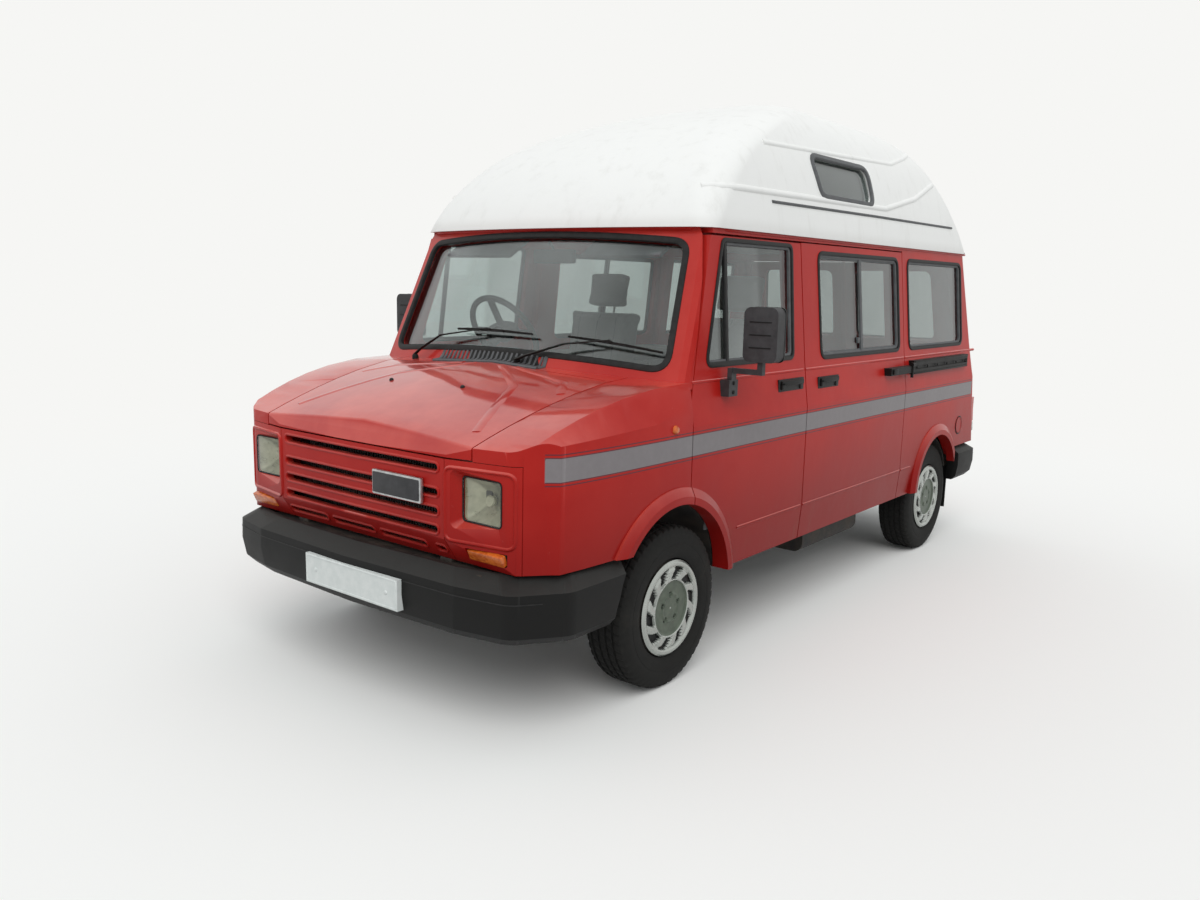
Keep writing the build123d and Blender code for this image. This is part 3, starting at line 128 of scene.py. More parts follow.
# ---------------------------------------------------------------- node trees
class Tree:
    """Short calls for building a node tree. Lengths in it are metres."""

    def __init__(self, owner):
        owner.use_nodes = True
        self.tree = owner.node_tree
        self.tree.nodes.clear()

    def node(self, kind, **settings):
        """A new shader node with some of its properties set."""
        made = self.tree.nodes.new(f"ShaderNode{kind}")
        for key, value in settings.items():
            setattr(made, key, value)
        return made

    def put(self, made, name, value):
        """Sets an input to a value, or links it to an output."""
        socket = made.inputs[name]
        if isinstance(value, bpy.types.NodeSocket):
            self.tree.links.new(value, socket)
        else:
            socket.default_value = value

    def fill(self, made, **values):
        """Sets several inputs, named with _ for a space, and gives the first output."""
        for key, value in values.items():
            self.put(made, key.replace("_", " "), value)
        return made.outputs[0]

    def maths(self, operation, a, b=0.0):
        made = self.node("Math", operation=operation)
        self.put(made, 0, a)
        self.put(made, 1, b)
        return made.outputs[0]

    def times(self, a, b):
        return self.maths("MULTIPLY", a, b)

    def plus(self, a, b):
        return self.maths("ADD", a, b)

    def spread(self, value, low, high):
        """0 to 1 brought to low to high."""
        return self.plus(self.times(value, high - low), low)

    def ramp(self, value, low, high):
        """0 below low, 1 above high, smooth between."""
        made = self.node("MapRange", interpolation_type="SMOOTHSTEP")
        return self.fill(made, Value=value, From_Min=low, From_Max=high)

    def band(self, value, low, high, soft=0.0005):
        """1 between low and high."""
        above = self.ramp(value, low - soft, low + soft)
        return self.times(above, self.ramp(value, high + soft, high - soft))

    def mix(self, share, a, b):
        """Colour a, passing into b as the share goes from 0 to 1."""
        made = self.node("Mix", data_type="RGBA")
        self.put(made, 0, share)
        self.put(made, 6, a if isinstance(a, bpy.types.NodeSocket) else (*a, 1))
        self.put(made, 7, b if isinstance(b, bpy.types.NodeSocket) else (*b, 1))
        return made.outputs[2]

    def layers(self, colour, *coats):
        """A colour with others laid over it, each given as mask, share and colour."""
        for mask, share, tone in coats:
            colour = self.mix(self.times(mask, share), colour, tone)
        return colour

    def noise(self, scale, detail=4.0, rough=0.55, stretch=(1, 1, 1)):
        """Mottling that stays with the object; stretch squeezes it along each axis."""
        mapping = self.node("Mapping")
        self.fill(mapping, Vector=self.node("TexCoord").outputs["Object"], Scale=stretch)
        made = self.node("TexNoise")
        self.fill(made, Vector=mapping.outputs[0], Scale=scale, Detail=detail, Roughness=rough)
        return made.outputs["Fac"]

    def place(self):
        """x, y and z of the object's own coordinates."""
        split = self.node("SeparateXYZ")
        self.put(split, 0, self.node("TexCoord").outputs["Object"])
        return split.outputs

    def upwardness(self):
        """1 where the surface looks up, 0 on a wall, -1 where it looks down."""
        split = self.node("SeparateXYZ")
        self.put(split, 0, self.node("NewGeometry").outputs["Normal"])
        return split.outputs[2]

    def seen(self):
        """1 for the rays that show the backdrop, straight or in metal and glass."""
        path = self.node("LightPath").outputs
        mirrored = self.maths("MAXIMUM", path["Is Glossy Ray"], path["Is Transmission Ray"])
        return self.maths("MAXIMUM", path["Is Camera Ray"], mirrored)

    def bump(self, height, strength, distance):
        return self.fill(self.node("Bump"), Height=height, Strength=strength, Distance=distance)

    def mix_shaders(self, share, a, b):
        made = self.node("MixShader")
        for socket, value in enumerate((share, a, b)):
            self.put(made, socket, value)
        return made.outputs[0]

    def finish(self, shader, kind="Material"):
        """Makes a shader the tree's result."""
        self.put(self.node(f"Output{kind}"), "Surface", shader)

    def surface(self, **values):
        """The whole material as one plain surface."""
        self.finish(self.fill(self.node("BsdfPrincipled"), **values))


def new_material(name):
    """A material and the tree to build it with."""
    material = bpy.data.materials.new(name)
    return material, Tree(material)


# ---------------------------------------------------------------- floor and world
BACKDROP = (0.922, 0.922, 0.905, 1)
SKY_COLOUR, SKY_STRENGTH = (0.95, 0.98, 1.0, 1), 0.74
FLOOR_KEPT_R, FLOOR_GONE_R = 2.2, 7.5        # metres


def make_floor():
    """White floor that keeps the shadow and passes into the backdrop away from the object."""
    bpy.ops.mesh.primitive_plane_add(size=60, location=(0, 0, 0))
    floor = bpy.context.object
    floor.name = "floor"
    material, tree = new_material("floor")
    floor.data.materials.append(material)
    colour = tree.mix(tree.seen(), (0.40, 0.40, 0.39), (0.93, 0.925, 0.90))
    x, y, _ = tree.place()
    away = tree.maths("SQRT", tree.plus(tree.times(x, x), tree.times(y, y)))
    share = tree.times(tree.seen(), tree.ramp(away, FLOOR_KEPT_R, FLOOR_GONE_R))
    diffuse = tree.fill(tree.node("BsdfDiffuse"), Color=colour)
    glow = tree.fill(tree.node("Emission"), Color=BACKDROP)
    tree.finish(tree.mix_shaders(share, diffuse, glow))


def make_world():
    """Even pale light from all round, with the backdrop's colour where it shows."""
    world = bpy.data.worlds.new("world")
    bpy.context.scene.world = world
    tree = Tree(world)
    light = tree.fill(tree.node("Background"), Color=SKY_COLOUR, Strength=SKY_STRENGTH)
    backdrop = tree.fill(tree.node("Background"), Color=BACKDROP)
    tree.finish(tree.mix_shaders(tree.seen(), light, backdrop), "World")


# ---------------------------------------------------------------- materials
STRIPE_Z = (0.888, 0.972)                                           # metres, as the rest of the stripe
STRIPE_FRONT_Y = (-0.698 - MID_Y / 1000, -0.676 - MID_Y / 1000)     # at its lower and upper edge
STRIPE_REAR_Y = 3.240 - MID_Y / 1000
STRIPE_EDGE = 0.0035
SCREEN_ENDS_Y = 0.62 - MID_Y / 1000


def stripe_masks(tree):
    """Masks of the side stripe: its band, and its dark outline with the thin lines beside it."""
    x, y, z = tree.place()
    side = tree.ramp(tree.maths("ABSOLUTE", x), 0.795, 0.797)
    low, high = STRIPE_Z
    slope = (STRIPE_FRONT_Y[1] - STRIPE_FRONT_Y[0]) / (high - low)
    start = tree.plus(tree.times(tree.maths("SUBTRACT", z, low), slope), STRIPE_FRONT_Y[0])
    along = tree.maths("SUBTRACT", y, start)
    inside = tree.times(side, tree.ramp(y, STRIPE_REAR_Y + 0.001, STRIPE_REAR_Y - 0.001))

    def stretch(z0, z1, margin):
        """1 between two heights, from a margin behind the stripe's front end to its rear end."""
        ahead = tree.ramp(along, margin - 0.001, margin + 0.001)
        return tree.times(tree.times(tree.band(z, z0, z1), ahead), inside)

    band = stretch(low, high, 0)
    outline = tree.maths("SUBTRACT", band, stretch(low + STRIPE_EDGE, high - STRIPE_EDGE, STRIPE_EDGE))
    lines = tree.plus(stretch(low - 0.011, low - 0.007, -0.004), stretch(high + 0.007, high + 0.011, -0.004))
    return band, tree.plus(outline, lines)


def paint_material(tree):
    """Red paint, sun-faded on top with a painted sky sheen there, darkened low down by painted shade, with
    road dust low down and a grey side stripe.
    """
    z = tree.place()[2]
    up = tree.upwardness()
    patches = tree.noise(2.2, 5, 0.6)
    fine = tree.noise(38, 4, 0.6)
    # Upward faces: real sun-fading, and a painted sheen standing in for the sky's reflection.
    fade_and_painted_sheen = tree.times(tree.ramp(up, 0.15, 0.9), tree.ramp(patches, 0.25, 0.75))
    dust = tree.times(tree.ramp(tree.noise(7, 6, 0.7, (1, 1, 0.35)), 0.52, 0.8), tree.ramp(z, 0.75, 0.40))
    red = tree.mix(tree.ramp(patches, 0.35, 0.68), (0.43, 0.013, 0.010), (0.49, 0.022, 0.016))
    # The first layer, darker red low down, is painted shade.
    red = tree.layers(red, (tree.ramp(z, 1.05, 0.42), 0.8, (0.22, 0.006, 0.005)),
                      (fade_and_painted_sheen, 0.8, (0.66, 0.105, 0.075)),
                      (dust, 0.5, (0.20, 0.075, 0.05)),
                      # pale pink flecks: painted reflection
                      (tree.ramp(fine, 0.70, 0.78), 0.22, (0.66, 0.22, 0.19)))
    band, lines = stripe_masks(tree)
    colour = tree.mix(band, red, tree.mix(fine, (0.215, 0.195, 0.20), (0.255, 0.235, 0.24)))
    colour = tree.mix(lines, colour, (0.13, 0.030, 0.040))
    tree.surface(Base_Color=colour, Roughness=tree.spread(patches, 0.24, 0.46), Specular_IOR_Level=0.14,
                 Coat_Weight=tree.spread(tree.ramp(up, 0.15, 0.7), 0.04, 0.96), Coat_Roughness=0.06,
                 Normal=tree.bump(tree.noise(5.5, 2, 0.5), 0.10, 0.02))


def surface_material(tree, dark, light, rough, scale, bump=0.0, **fixed):
    """Material with colour and roughness mottled by noise, and a fine grain if bump is given."""
    mottle = tree.noise(scale, 5, 0.6)
    if bump:
        fixed["Normal"] = tree.bump(tree.noise(scale * 22, 3, 0.6), bump, 0.0006)
    tree.surface(Base_Color=tree.mix(tree.ramp(mottle, 0.3, 0.7), dark, light),
                 Roughness=tree.spread(mottle, *rough), **fixed)


def roof_material(tree):
    """White moulded plastic, streaked grey by rain and dirty along its foot."""
    patches = tree.noise(3, 5, 0.6)
    streaks = tree.ramp(tree.noise(16, 6, 0.65, (1, 1, 0.12)), 0.50, 0.78)
    foot = tree.ramp(tree.place()[2], 1.80, 1.742)
    white = tree.mix(patches, (0.86, 0.86, 0.84), (0.91, 0.91, 0.885))
    colour = tree.layers(white, (streaks, 0.22, (0.55, 0.54, 0.50)), (foot, 0.30, (0.58, 0.56, 0.53)))
    tree.surface(Base_Color=colour, Roughness=tree.spread(patches, 0.28, 0.53),
                 Normal=tree.bump(tree.noise(9, 3), 0.08, 0.02))


def bumper_material(tree):
    """Grained black plastic, faded grey on its upper faces."""
    mottle = tree.noise(9, 6, 0.65)
    base = tree.mix(mottle, (0.004, 0.004, 0.004), (0.009, 0.0088, 0.0085))
    faded = tree.mix(mottle, (0.018, 0.018, 0.017), (0.036, 0.036, 0.034))
    tree.surface(Base_Color=tree.mix(tree.ramp(tree.upwardness(), 0.15, 0.75), base, faded),
                 Roughness=tree.spread(mottle, 0.42, 0.62), Specular_IOR_Level=0.2,
                 Normal=tree.bump(tree.noise(420, 3), 0.25, 0.0008))


def glass_material(tree, tint, painted_reflection_share, screen_tint=None, screen_painted_reflection_share=0.0):
    """Thin glass: a tinted see-through share, a mirror share rising at grazing angles, and noise patches of
    mirror added as painted cloud reflection.

    The windscreen, in front of the rest, may be clearer and have more of the painted reflection.
    """
    see = tree.fill(tree.node("BsdfTransparent"), Color=(*tint, 1))
    # Noise patches where more mirror is mixed in: painted cloud reflection.
    painted_cloud_reflection = tree.ramp(tree.noise(1.6, 3, 0.5, (1, 1, 0.6)), 0.2, 0.85)
    amount = painted_reflection_share
    if screen_tint:
        ahead = tree.ramp(tree.place()[1], SCREEN_ENDS_Y + 0.05, SCREEN_ENDS_Y)
        see = tree.fill(see.node, Color=tree.mix(ahead, tint, screen_tint))
        amount = tree.spread(ahead, painted_reflection_share, screen_painted_reflection_share)
    facing = tree.node("LayerWeight")
    facing.inputs["Blend"].default_value = 0.5
    gloss = tree.spread(tree.maths("POWER", facing.outputs["Facing"], 4.0), 0.05, 0.95)
    share = tree.maths("MINIMUM", tree.plus(gloss, tree.times(painted_cloud_reflection, amount)), 1.0)
    mirror = tree.fill(tree.node("BsdfPrincipled"), Base_Color=(0.82, 0.85, 0.86, 1), Roughness=0.015,
                       Metallic=1.0)
    tree.finish(tree.mix_shaders(share, see, mirror))


def lens_material(tree, colour, glow):
    """Moulded coloured lens with fine ribs in it."""
    ribs = tree.maths("SINE", tree.times(tree.place()[0], 900.0))
    tree.surface(Base_Color=tree.mix(tree.ramp(tree.noise(60, 3), 0.3, 0.7), colour, glow), Roughness=0.25,
                 Coat_Weight=0.25, Coat_Roughness=0.05, Normal=tree.bump(ribs, 0.35, 0.0006))


def wheel_material(tree):
    """Silver-painted plastic with a brushed look and patches of road dirt."""
    mottle = tree.noise(14, 5, 0.6)
    dirt = tree.ramp(tree.noise(45, 6, 0.7), 0.55, 0.82)
    silver = tree.mix(mottle, (0.34, 0.36, 0.34), (0.50, 0.52, 0.49))
    tree.surface(Base_Color=tree.layers(silver, (dirt, 0.4, (0.16, 0.14, 0.12))),
                 Roughness=tree.spread(mottle, 0.16, 0.34), Metallic=0.72)


def fabric_material(tree, dark, light):
    """Woven cloth: two crossed sets of threads over a mottled ground."""
    x, y, z = tree.place()
    threads = 2600.0
    warp, weft = (tree.maths("SINE", tree.times(along, threads)) for along in (x, tree.plus(y, z)))
    weave = tree.times(warp, weft)
    ground = tree.mix(tree.noise(90, 5, 0.7), dark, light)
    tree.surface(Base_Color=tree.layers(ground, (tree.ramp(weave, -1.0, 1.0), 0.35, light)), Roughness=0.92,
                 Sheen_Weight=0.35, Normal=tree.bump(weave, 0.4, 0.0008))


def tyre_material(tree):
    """Worn black rubber with road dust on it."""
    rubber = tree.mix(tree.noise(22, 6, 0.7), (0.007, 0.007, 0.007), (0.018, 0.0175, 0.016))
    dust = tree.ramp(tree.noise(5, 4, 0.7), 0.55, 0.8)
    tree.surface(Base_Color=tree.layers(rubber, (dust, 0.25, (0.06, 0.055, 0.045))), Roughness=0.82,
                 Specular_IOR_Level=0.25, Normal=tree.bump(tree.noise(300, 3), 0.2, 0.0008))


GRAINED = {"bump": 0.3}
DULL = {"bump": 0.3, "Specular_IOR_Level": 0.3}
METAL = {"Metallic": 0.9}
SURFACES = {                 # dark and light colour, roughness, scale of the mottling, what else is set
    "mirror_case": ((0.034, 0.034, 0.036), (0.055, 0.055, 0.058), (0.45, 0.6), 20, DULL),
    "rubber": ((0.010, 0.010, 0.010), (0.022, 0.022, 0.022), (0.45, 0.7), 40, DULL),
    "grey_trim": ((0.075, 0.078, 0.082), (0.11, 0.113, 0.118), (0.5, 0.7), 26, GRAINED),
    "pale_trim": ((0.33, 0.33, 0.32), (0.42, 0.42, 0.40), (0.6, 0.8), 12, GRAINED),
    "card": ((0.12, 0.12, 0.125), (0.17, 0.17, 0.175), (0.7, 0.85), 18, GRAINED),
    "chassis": ((0.012, 0.012, 0.012), (0.055, 0.045, 0.036), (0.6, 0.85), 12, GRAINED),
    "engine_block": ((0.05, 0.05, 0.05), (0.13, 0.12, 0.11), (0.45, 0.7), 15, GRAINED),
    "bare_steel": ((0.20, 0.19, 0.18), (0.42, 0.40, 0.38), (0.3, 0.6), 25, METAL),
    "aluminium": ((0.40, 0.41, 0.41), (0.58, 0.59, 0.59), (0.28, 0.5), 40, METAL),
    "mirror_glass": ((0.72, 0.74, 0.75), (0.78, 0.80, 0.80), (0.02, 0.05), 5, {"Metallic": 1.0}),
    "plate_white": ((0.70, 0.74, 0.72), (0.78, 0.81, 0.79), (0.3, 0.45), 30, {}),
    "trim_centre": ((0.075, 0.095, 0.07), (0.115, 0.14, 0.105), (0.3, 0.5), 30, {"Metallic": 0.3}),
    # reflector: pale, mostly diffuse colour painted in for what a mirror bowl reflects
    "reflector": ((0.34, 0.335, 0.26), (0.50, 0.49, 0.40), (0.2, 0.4), 25, {"Metallic": 0.4}),
}
MADE_BY = {
    "red_paint": (paint_material,),
    "white_roof": (roof_material,),
    "black_trim": (bumper_material,),
    "silver_trim": (wheel_material,),
    "tyre_rubber": (tyre_material,),
    "window_glass": (glass_material, (0.68, 0.71, 0.70), 0.05, (0.79, 0.83, 0.82), 0.13),
    "lamp_glass": (glass_material, (0.93, 0.94, 0.88), 0.03),
    "amber_lens": (lens_material, (0.50, 0.085, 0.010), (0.72, 0.17, 0.02)),
    "red_lens": (lens_material, (0.38, 0.008, 0.008), (0.55, 0.02, 0.015)),
    "clear_lens": (lens_material, (0.55, 0.56, 0.54), (0.70, 0.71, 0.68)),
    "seat_fabric": (fabric_material, (0.22, 0.21, 0.195), (0.38, 0.37, 0.345)),
}

make_camera()
make_floor()
make_world()
sun_light("veiled_sun", direction=(-0.55, 0.60, -0.9), strength=1.2, angle=45)
bpy.context.scene.view_settings.view_transform = "Standard"
MATERIALS = {}
for name, (*given, others) in SURFACES.items():
    MATERIALS[name], tree = new_material(name)
    surface_material(tree, *given, **others)
for name, (make, *given) in MADE_BY.items():
    MATERIALS[name], tree = new_material(name)
    make(tree, *given)
SLOT_OF = {s["node"]: s["material_slot"] for s in frame["record"]["subparts"]}
for name, obj in NODES.items():
    obj.data.materials.clear()
    obj.data.materials.append(MATERIALS["mirror_case" if name.startswith("mirror_") else SLOT_OF[name]])


def directions(path, closed):
    """Direction along a path at each of its points."""
    steps = []
    for i, point in enumerate(path):
        before = path[i - 1] if i or closed else point
        after = path[(i + 1) % len(path)] if i + 1 < len(path) or closed else point
        steps.append((after - before).normalized())
    return steps


class Piece:
    """One mesh piece, put together from simple shapes. Points are millimetres, or Vectors in metres."""

    def __init__(self):
        self.bm = bmesh.new()

    def add(self, points, faces, paint=0):
        """Vertices and faces; paint picks from the piece's materials, for all faces or face by face."""
        made = [self.bm.verts.new(p if isinstance(p, Vector) else at(*p)) for p in points]
        paints = paint if isinstance(paint, list) else [paint] * len(faces)
        for corners, number in zip(faces, paints):
            face = self.bm.faces.new([made[i] for i in corners])
            face.material_index = number
            face.smooth = True
        return made

    def block(self, x0, x1, y0, y1, z0, z1, edge=3.0, turn=None, paint=0, segments=2):
        """Box with rounded edges; turn is a matrix about the box's middle."""
        middle = Vector((x0 + x1, y0 + y1, z0 + z1)) / 2
        half = Vector((abs(x1 - x0), y1 - y0, z1 - z0)) / 2
        signs = [Vector((a, b, c)) for a in (-1, 1) for b in (-1, 1) for c in (-1, 1)]
        corners = [half * each for each in signs]
        if turn is not None:
            corners = [turn @ c for c in corners]
        faces = [(0, 1, 3, 2), (4, 6, 7, 5), (0, 4, 5, 1), (2, 3, 7, 6), (0, 2, 6, 4), (1, 5, 7, 3)]
        made = self.add([tuple(middle + c) for c in corners], faces, paint)
        edges = list({e for v in made for e in v.link_edges})
        bmesh.ops.bevel(self.bm, geom=edges, offset=min(edge, 0.9 * min(half)) / 1000, segments=segments,
                        profile=0.6, affect="EDGES", clamp_overlap=True, material=-1)

    def sweep(self, rings, closed_path=False, closed_ring=True, paint=0, caps=True):
        """Skins a list of rings, each a list of points with the same count."""
        count = len(rings[0])
        points = [p for ring in rings for p in ring]
        faces = []
        for i in range(len(rings) if closed_path else len(rings) - 1):
            a, b = i * count, (i + 1) % len(rings) * count
            for j in range(count if closed_ring else count - 1):
                k = (j + 1) % count
                faces.append((a + j, a + k, b + k, b + j))
        if caps and closed_ring and not closed_path:
            faces.append(tuple(reversed(range(count))))
            faces.append(tuple(range(len(points) - count, len(points))))
        return self.add(points, faces, paint)

    def tube(self, path, radius, sides=10, paint=0, flat=1.0):
        """Round bar along a path; radius is a number or one for each point."""
        path = [p if isinstance(p, Vector) else at(*p) for p in path]
        radii = radius if isinstance(radius, list) else [radius] * len(path)
        rings, up = [], None
        for point, along, r in zip(path, directions(path, False), radii):
            if up is None:
                up = Vector((0, 0, 1)) if abs(along.z) < 0.9 else Vector((1, 0, 0))
            side = along.cross(up).normalized()
            up = side.cross(along).normalized()
            across, rise = side * r / 1000, up * flat * r / 1000
            rings.append([point + math.cos(t) * across + math.sin(t) * rise for t in turns(sides)])
        self.sweep(rings, paint=paint)

    def ribbon(self, line, profile, closed=False, paint=0):
        """Sweeps a profile of (across, out) along a line on a surface, given as places and normals."""
        path, normals = line
        rings = []
        for point, normal, along in zip(path, normals, directions(path, closed)):
            out = normal.normalized()
            across = along.cross(out).normalized()
            rings.append([point + a / 1000 * across + o / 1000 * out for a, o in profile])
        self.sweep(rings, closed, paint=paint)

    def lathe(self, middle, profile, steps=48, axis="X", sign=1, paint=0):
        """Turns a closed profile of (along, radius) about an axis through a point."""
        rings = []
        for t in turns(steps):
            ring = []
            for along, r in profile:
                offset = [r * math.cos(t), r * math.sin(t)]
                offset.insert("XYZ".index(axis), sign * along)
                ring.append(at(*(m + o for m, o in zip(middle, offset))))
            rings.append(ring)
        self.sweep(rings, True, paint=paint)

    def knob(self, middle, profile, *others, **named):
        """A lathe whose profile runs on to the axis at both ends."""
        self.lathe(middle, ((profile[0][0], 0.5), *profile, (profile[-1][0], 0.5)), *others, **named)

    def done(self, name, materials, body="body", sharp=38.0):
        """Makes the object, rides it on a body and names the slot its finish comes from."""
        bmesh.ops.remove_doubles(self.bm, verts=self.bm.verts, dist=1e-6)
        bmesh.ops.recalc_face_normals(self.bm, faces=self.bm.faces)
        for edge in self.bm.edges:
            if len(edge.link_faces) == 2 and edge.calc_face_angle(0) > math.radians(sharp):
                edge.smooth = False
        mesh = bpy.data.meshes.new(name)
        self.bm.to_mesh(mesh)
        self.bm.free()
        names = materials if isinstance(materials, list) else [materials]
        for each in names:
            mesh.materials.append(MATERIALS[each])
        obj = new_object(name, mesh)
        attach(obj, body)
        return obj


def trim(name, line, profile, material, body="body", closed=True):
    """A piece that is one ribbon."""
    piece = Piece()
    piece.ribbon(line, profile, closed)
    return piece.done(name, material, body)


def even(*half):
    """A profile that is the same on both sides, from its left half."""
    return [*half, *((-a, b) for a, b in reversed(half) if a)]


def box_outline(x0, x1, z0, z1):
    """Corners of an upright rectangle."""
    return ((x0, z0), (x0, z1), (x1, z1), (x1, z0))


def divided(points, longest, closed=True):
    """The same outline with its long edges cut into shorter ones."""
    full = []
    for i in range(len(points) if closed else len(points) - 1):
        here, after = Vector(points[i]), Vector(points[(i + 1) % len(points)])
        parts = max(1, math.ceil((after - here).length / longest))
        full += [here.lerp(after, k / parts) for k in range(parts)]
    return full if closed else full + [Vector(points[-1])]


def around(points):
    """Each point of a closed outline between its neighbours."""
    count = len(points)
    return [[Vector(points[j % count]) for j in (i - 1, i, i + 1)] for i in range(count)]


def rounded(points, radius, steps=5, longest=70.0):
    """Closed outline with its corners rounded and its long edges divided, from 2D points."""
    outline = []
    for before, here, after in around(points):
        a, b = before - here, after - here
        cut = min(radius / math.tan(a.angle(b) / 2), 0.48 * min(a.length, b.length))
        start, end = here + a.normalized() * cut, here + b.normalized() * cut
        for t in spaced(0, 1, steps):
            outline.append((1 - t) ** 2 * start + 2 * t * (1 - t) * here + t * t * end)
    return divided(outline, longest)


def grown(points, margin):
    """A convex outline moved out by a margin."""
    middle = sum((Vector(p) for p in points), Vector((0, 0))) / len(points)
    out = []
    for before, here, after in around(points):
        moved = []
        for a, b in ((before, here), (here, after)):
            n = Vector(((b - a).y, -(b - a).x)).normalized()
            if n.dot((a + b) / 2 - middle) < 0:
                n = -n
            moved.append((a + n * margin, (b - a).normalized()))
        (p, d), (q, e) = moved
        cross = d.x * e.y - d.y * e.x
        out.append(p + d * (((q - p).x * e.y - (q - p).y * e.x) / cross))
    return out


# ---------------------------------------------------------------- laying points on the body
def target(*objects):
    """What rays are cast at: some objects' meshes at rest."""
    joined = bmesh.new()
    for each in objects:
        joined.from_mesh(each.data)
    tree = BVHTree.FromBMesh(joined)
    joined.free()
    return tree


def nodes(*names):
    """The CAD objects of some nodes."""
    return [NODES[name] for name in names]


SKIN = target(*nodes("side_panel_left", "side_panel_right", "sliding_door", "front_door_left",
                     "front_door_right", "front_wings", "rear_frame", "rear_door_left", "rear_door_right",
                     "screen_frame", "bonnet", "front_panels", "high_roof"))
FACE = target(*nodes("front_panels", "front_wings", "bonnet"))
TOP = target(*nodes("bonnet", "front_wings", "screen_frame"))
BUMPERS = target(*nodes("bumpers"))
MISSED = 0.01                # metres: a ray's end this near its start has met nothing


def hit(tree, start, direction):
    """Where a ray meets a surface and the normal there, or its start where it meets nothing."""
    start = start if isinstance(start, Vector) else at(*start)
    direction = Vector(direction)
    place, normal, _, _ = tree.ray_cast(start, direction)
    if place is None:
        return start, -direction
    return place, -normal if normal.dot(direction) > 0 else normal


def cast(tree, starts, direction):
    """Places and outward normals of several rays with one direction."""
    return zip(*(hit(tree, start, direction) for start in starts))


def on_side(points, sign):
    """(y, z) points brought onto the left (+1) or right (-1) side."""
    return cast(SKIN, [(sign * 1400, y, z) for y, z in points], (-sign, 0, 0))


def on_nose(points):
    """(x, z) points brought onto the front panel."""
    return cast(FACE, [(x, NOSE_Y - 400, z) for x, z in points], (0, 1, 0))


def on_top(points):
    """(x, y) points brought down onto the bonnet and scuttle."""
    return cast(TOP, [(x, y, 1600) for x, y in points], (0, 0, -1))


SIDE_SECTION = ((HALF_WIDTH, SILL_Z), (HALF_WIDTH, BELT_Z - 166), (HALF_WIDTH - 7, BELT_Z - 121),
                (HALF_WIDTH - 22, BELT_Z), (HALF_WIDTH - 26, BELT_Z + 34),
                (HALF_WIDTH - 75, ROOF_JOINT_Z - 53), (HALF_WIDTH - 80, ROOF_JOINT_Z))


def side_x(z):
    """The side's outer skin at a height."""
    for (xa, za), (xb, zb) in zip(SIDE_SECTION, SIDE_SECTION[1:]):
        if z <= zb:
            return xa + (xb - xa) * (max(z, za) - za) / (zb - za)
    return SIDE_SECTION[-1][0]


def side_loop(points, sign, inset=0.0):
    """(y, z) points on the plain side form, with normals; for outlines that lie over an opening."""
    places = [at(sign * (side_x(z) - inset), y, z) for y, z in points]
    slopes = [(side_x(z + 10) - side_x(z - 10)) / 20 for _, z in points]
    return places, [Vector((sign, 0, -slope)).normalized() for slope in slopes]


def on_screen(x, rise, inset=0.0):
    """Point of the windscreen's outer face: x across, rise up its slope, and its normal."""
    depth = SCREEN_BEND_R - math.sqrt(SCREEN_BEND_R ** 2 - x * x) + inset
    y = SCREEN_FOOT[0] + rise * math.sin(SCREEN_LEAN) + depth * math.cos(SCREEN_LEAN)
    z = SCREEN_FOOT[1] + rise * math.cos(SCREEN_LEAN) - depth * math.sin(SCREEN_LEAN)
    normal = Vector((x / SCREEN_BEND_R, -math.cos(SCREEN_LEAN), math.sin(SCREEN_LEAN))).normalized()
    return at(x, y, z), normal


def rear_y(z):
    """The rear doors' outer face at a height."""
    return REAR_FOOT_Y - REAR_LEAN * (z - REAR_FOOT_Z)


def rear_loop(points, sign):
    """(x, z) points on the rear doors' face, with normals."""
    path = [at(sign * x, rear_y(z), z) for x, z in points]
    return path, [BACK] * len(path)


def flat_loop(points, y, sign=1, out=-1):
    """(x, z) points on an upright plane across the van, with normals."""
    path = [at(sign * x, y, z) for x, z in points]
    return path, [Vector((0, out, 0))] * len(path)


# ---------------------------------------------------------------- windows
WINDOW_Z = (BELT_Z + 43, ROOF_JOINT_Z - 64)
DOOR_WINDOW = ((FRONT_SHUT_Y + 118, BELT_Z + 56), (FRONT_SHUT_HEAD_Y + 90, ROOF_JOINT_Z - 44),
               (REAR_SHUT_Y - 88, ROOF_JOINT_Z - 44), (REAR_SHUT_Y - 110, BELT_Z + 56))
SLIDE_WINDOW = (REAR_SHUT_Y + 165, SLIDE_SHUT_Y - 67)
QUARTER_WINDOW = (SLIDE_SHUT_Y + 72, REAR_FOOT_Y - 325)
SEAL = ((-9, -2), (-8, 3.5), (-3, 6), (3, 6), (8, 4), (9, 0), (9, -4), (-9, -4))
SCREEN_SEAL = ((-13, -3), (-12, 3), (-5, 7), (4, 7), (12, 4), (17, -8), (18, -19), (8, -22), (-12, -12))
ROOF_SEAL = ((-15, -6), (-14, 4), (-8, 8), (8, 8), (12, 4), (13, -4))
INNER_FRAME = even((-7, -7), (-7, 3), (-4, 5))


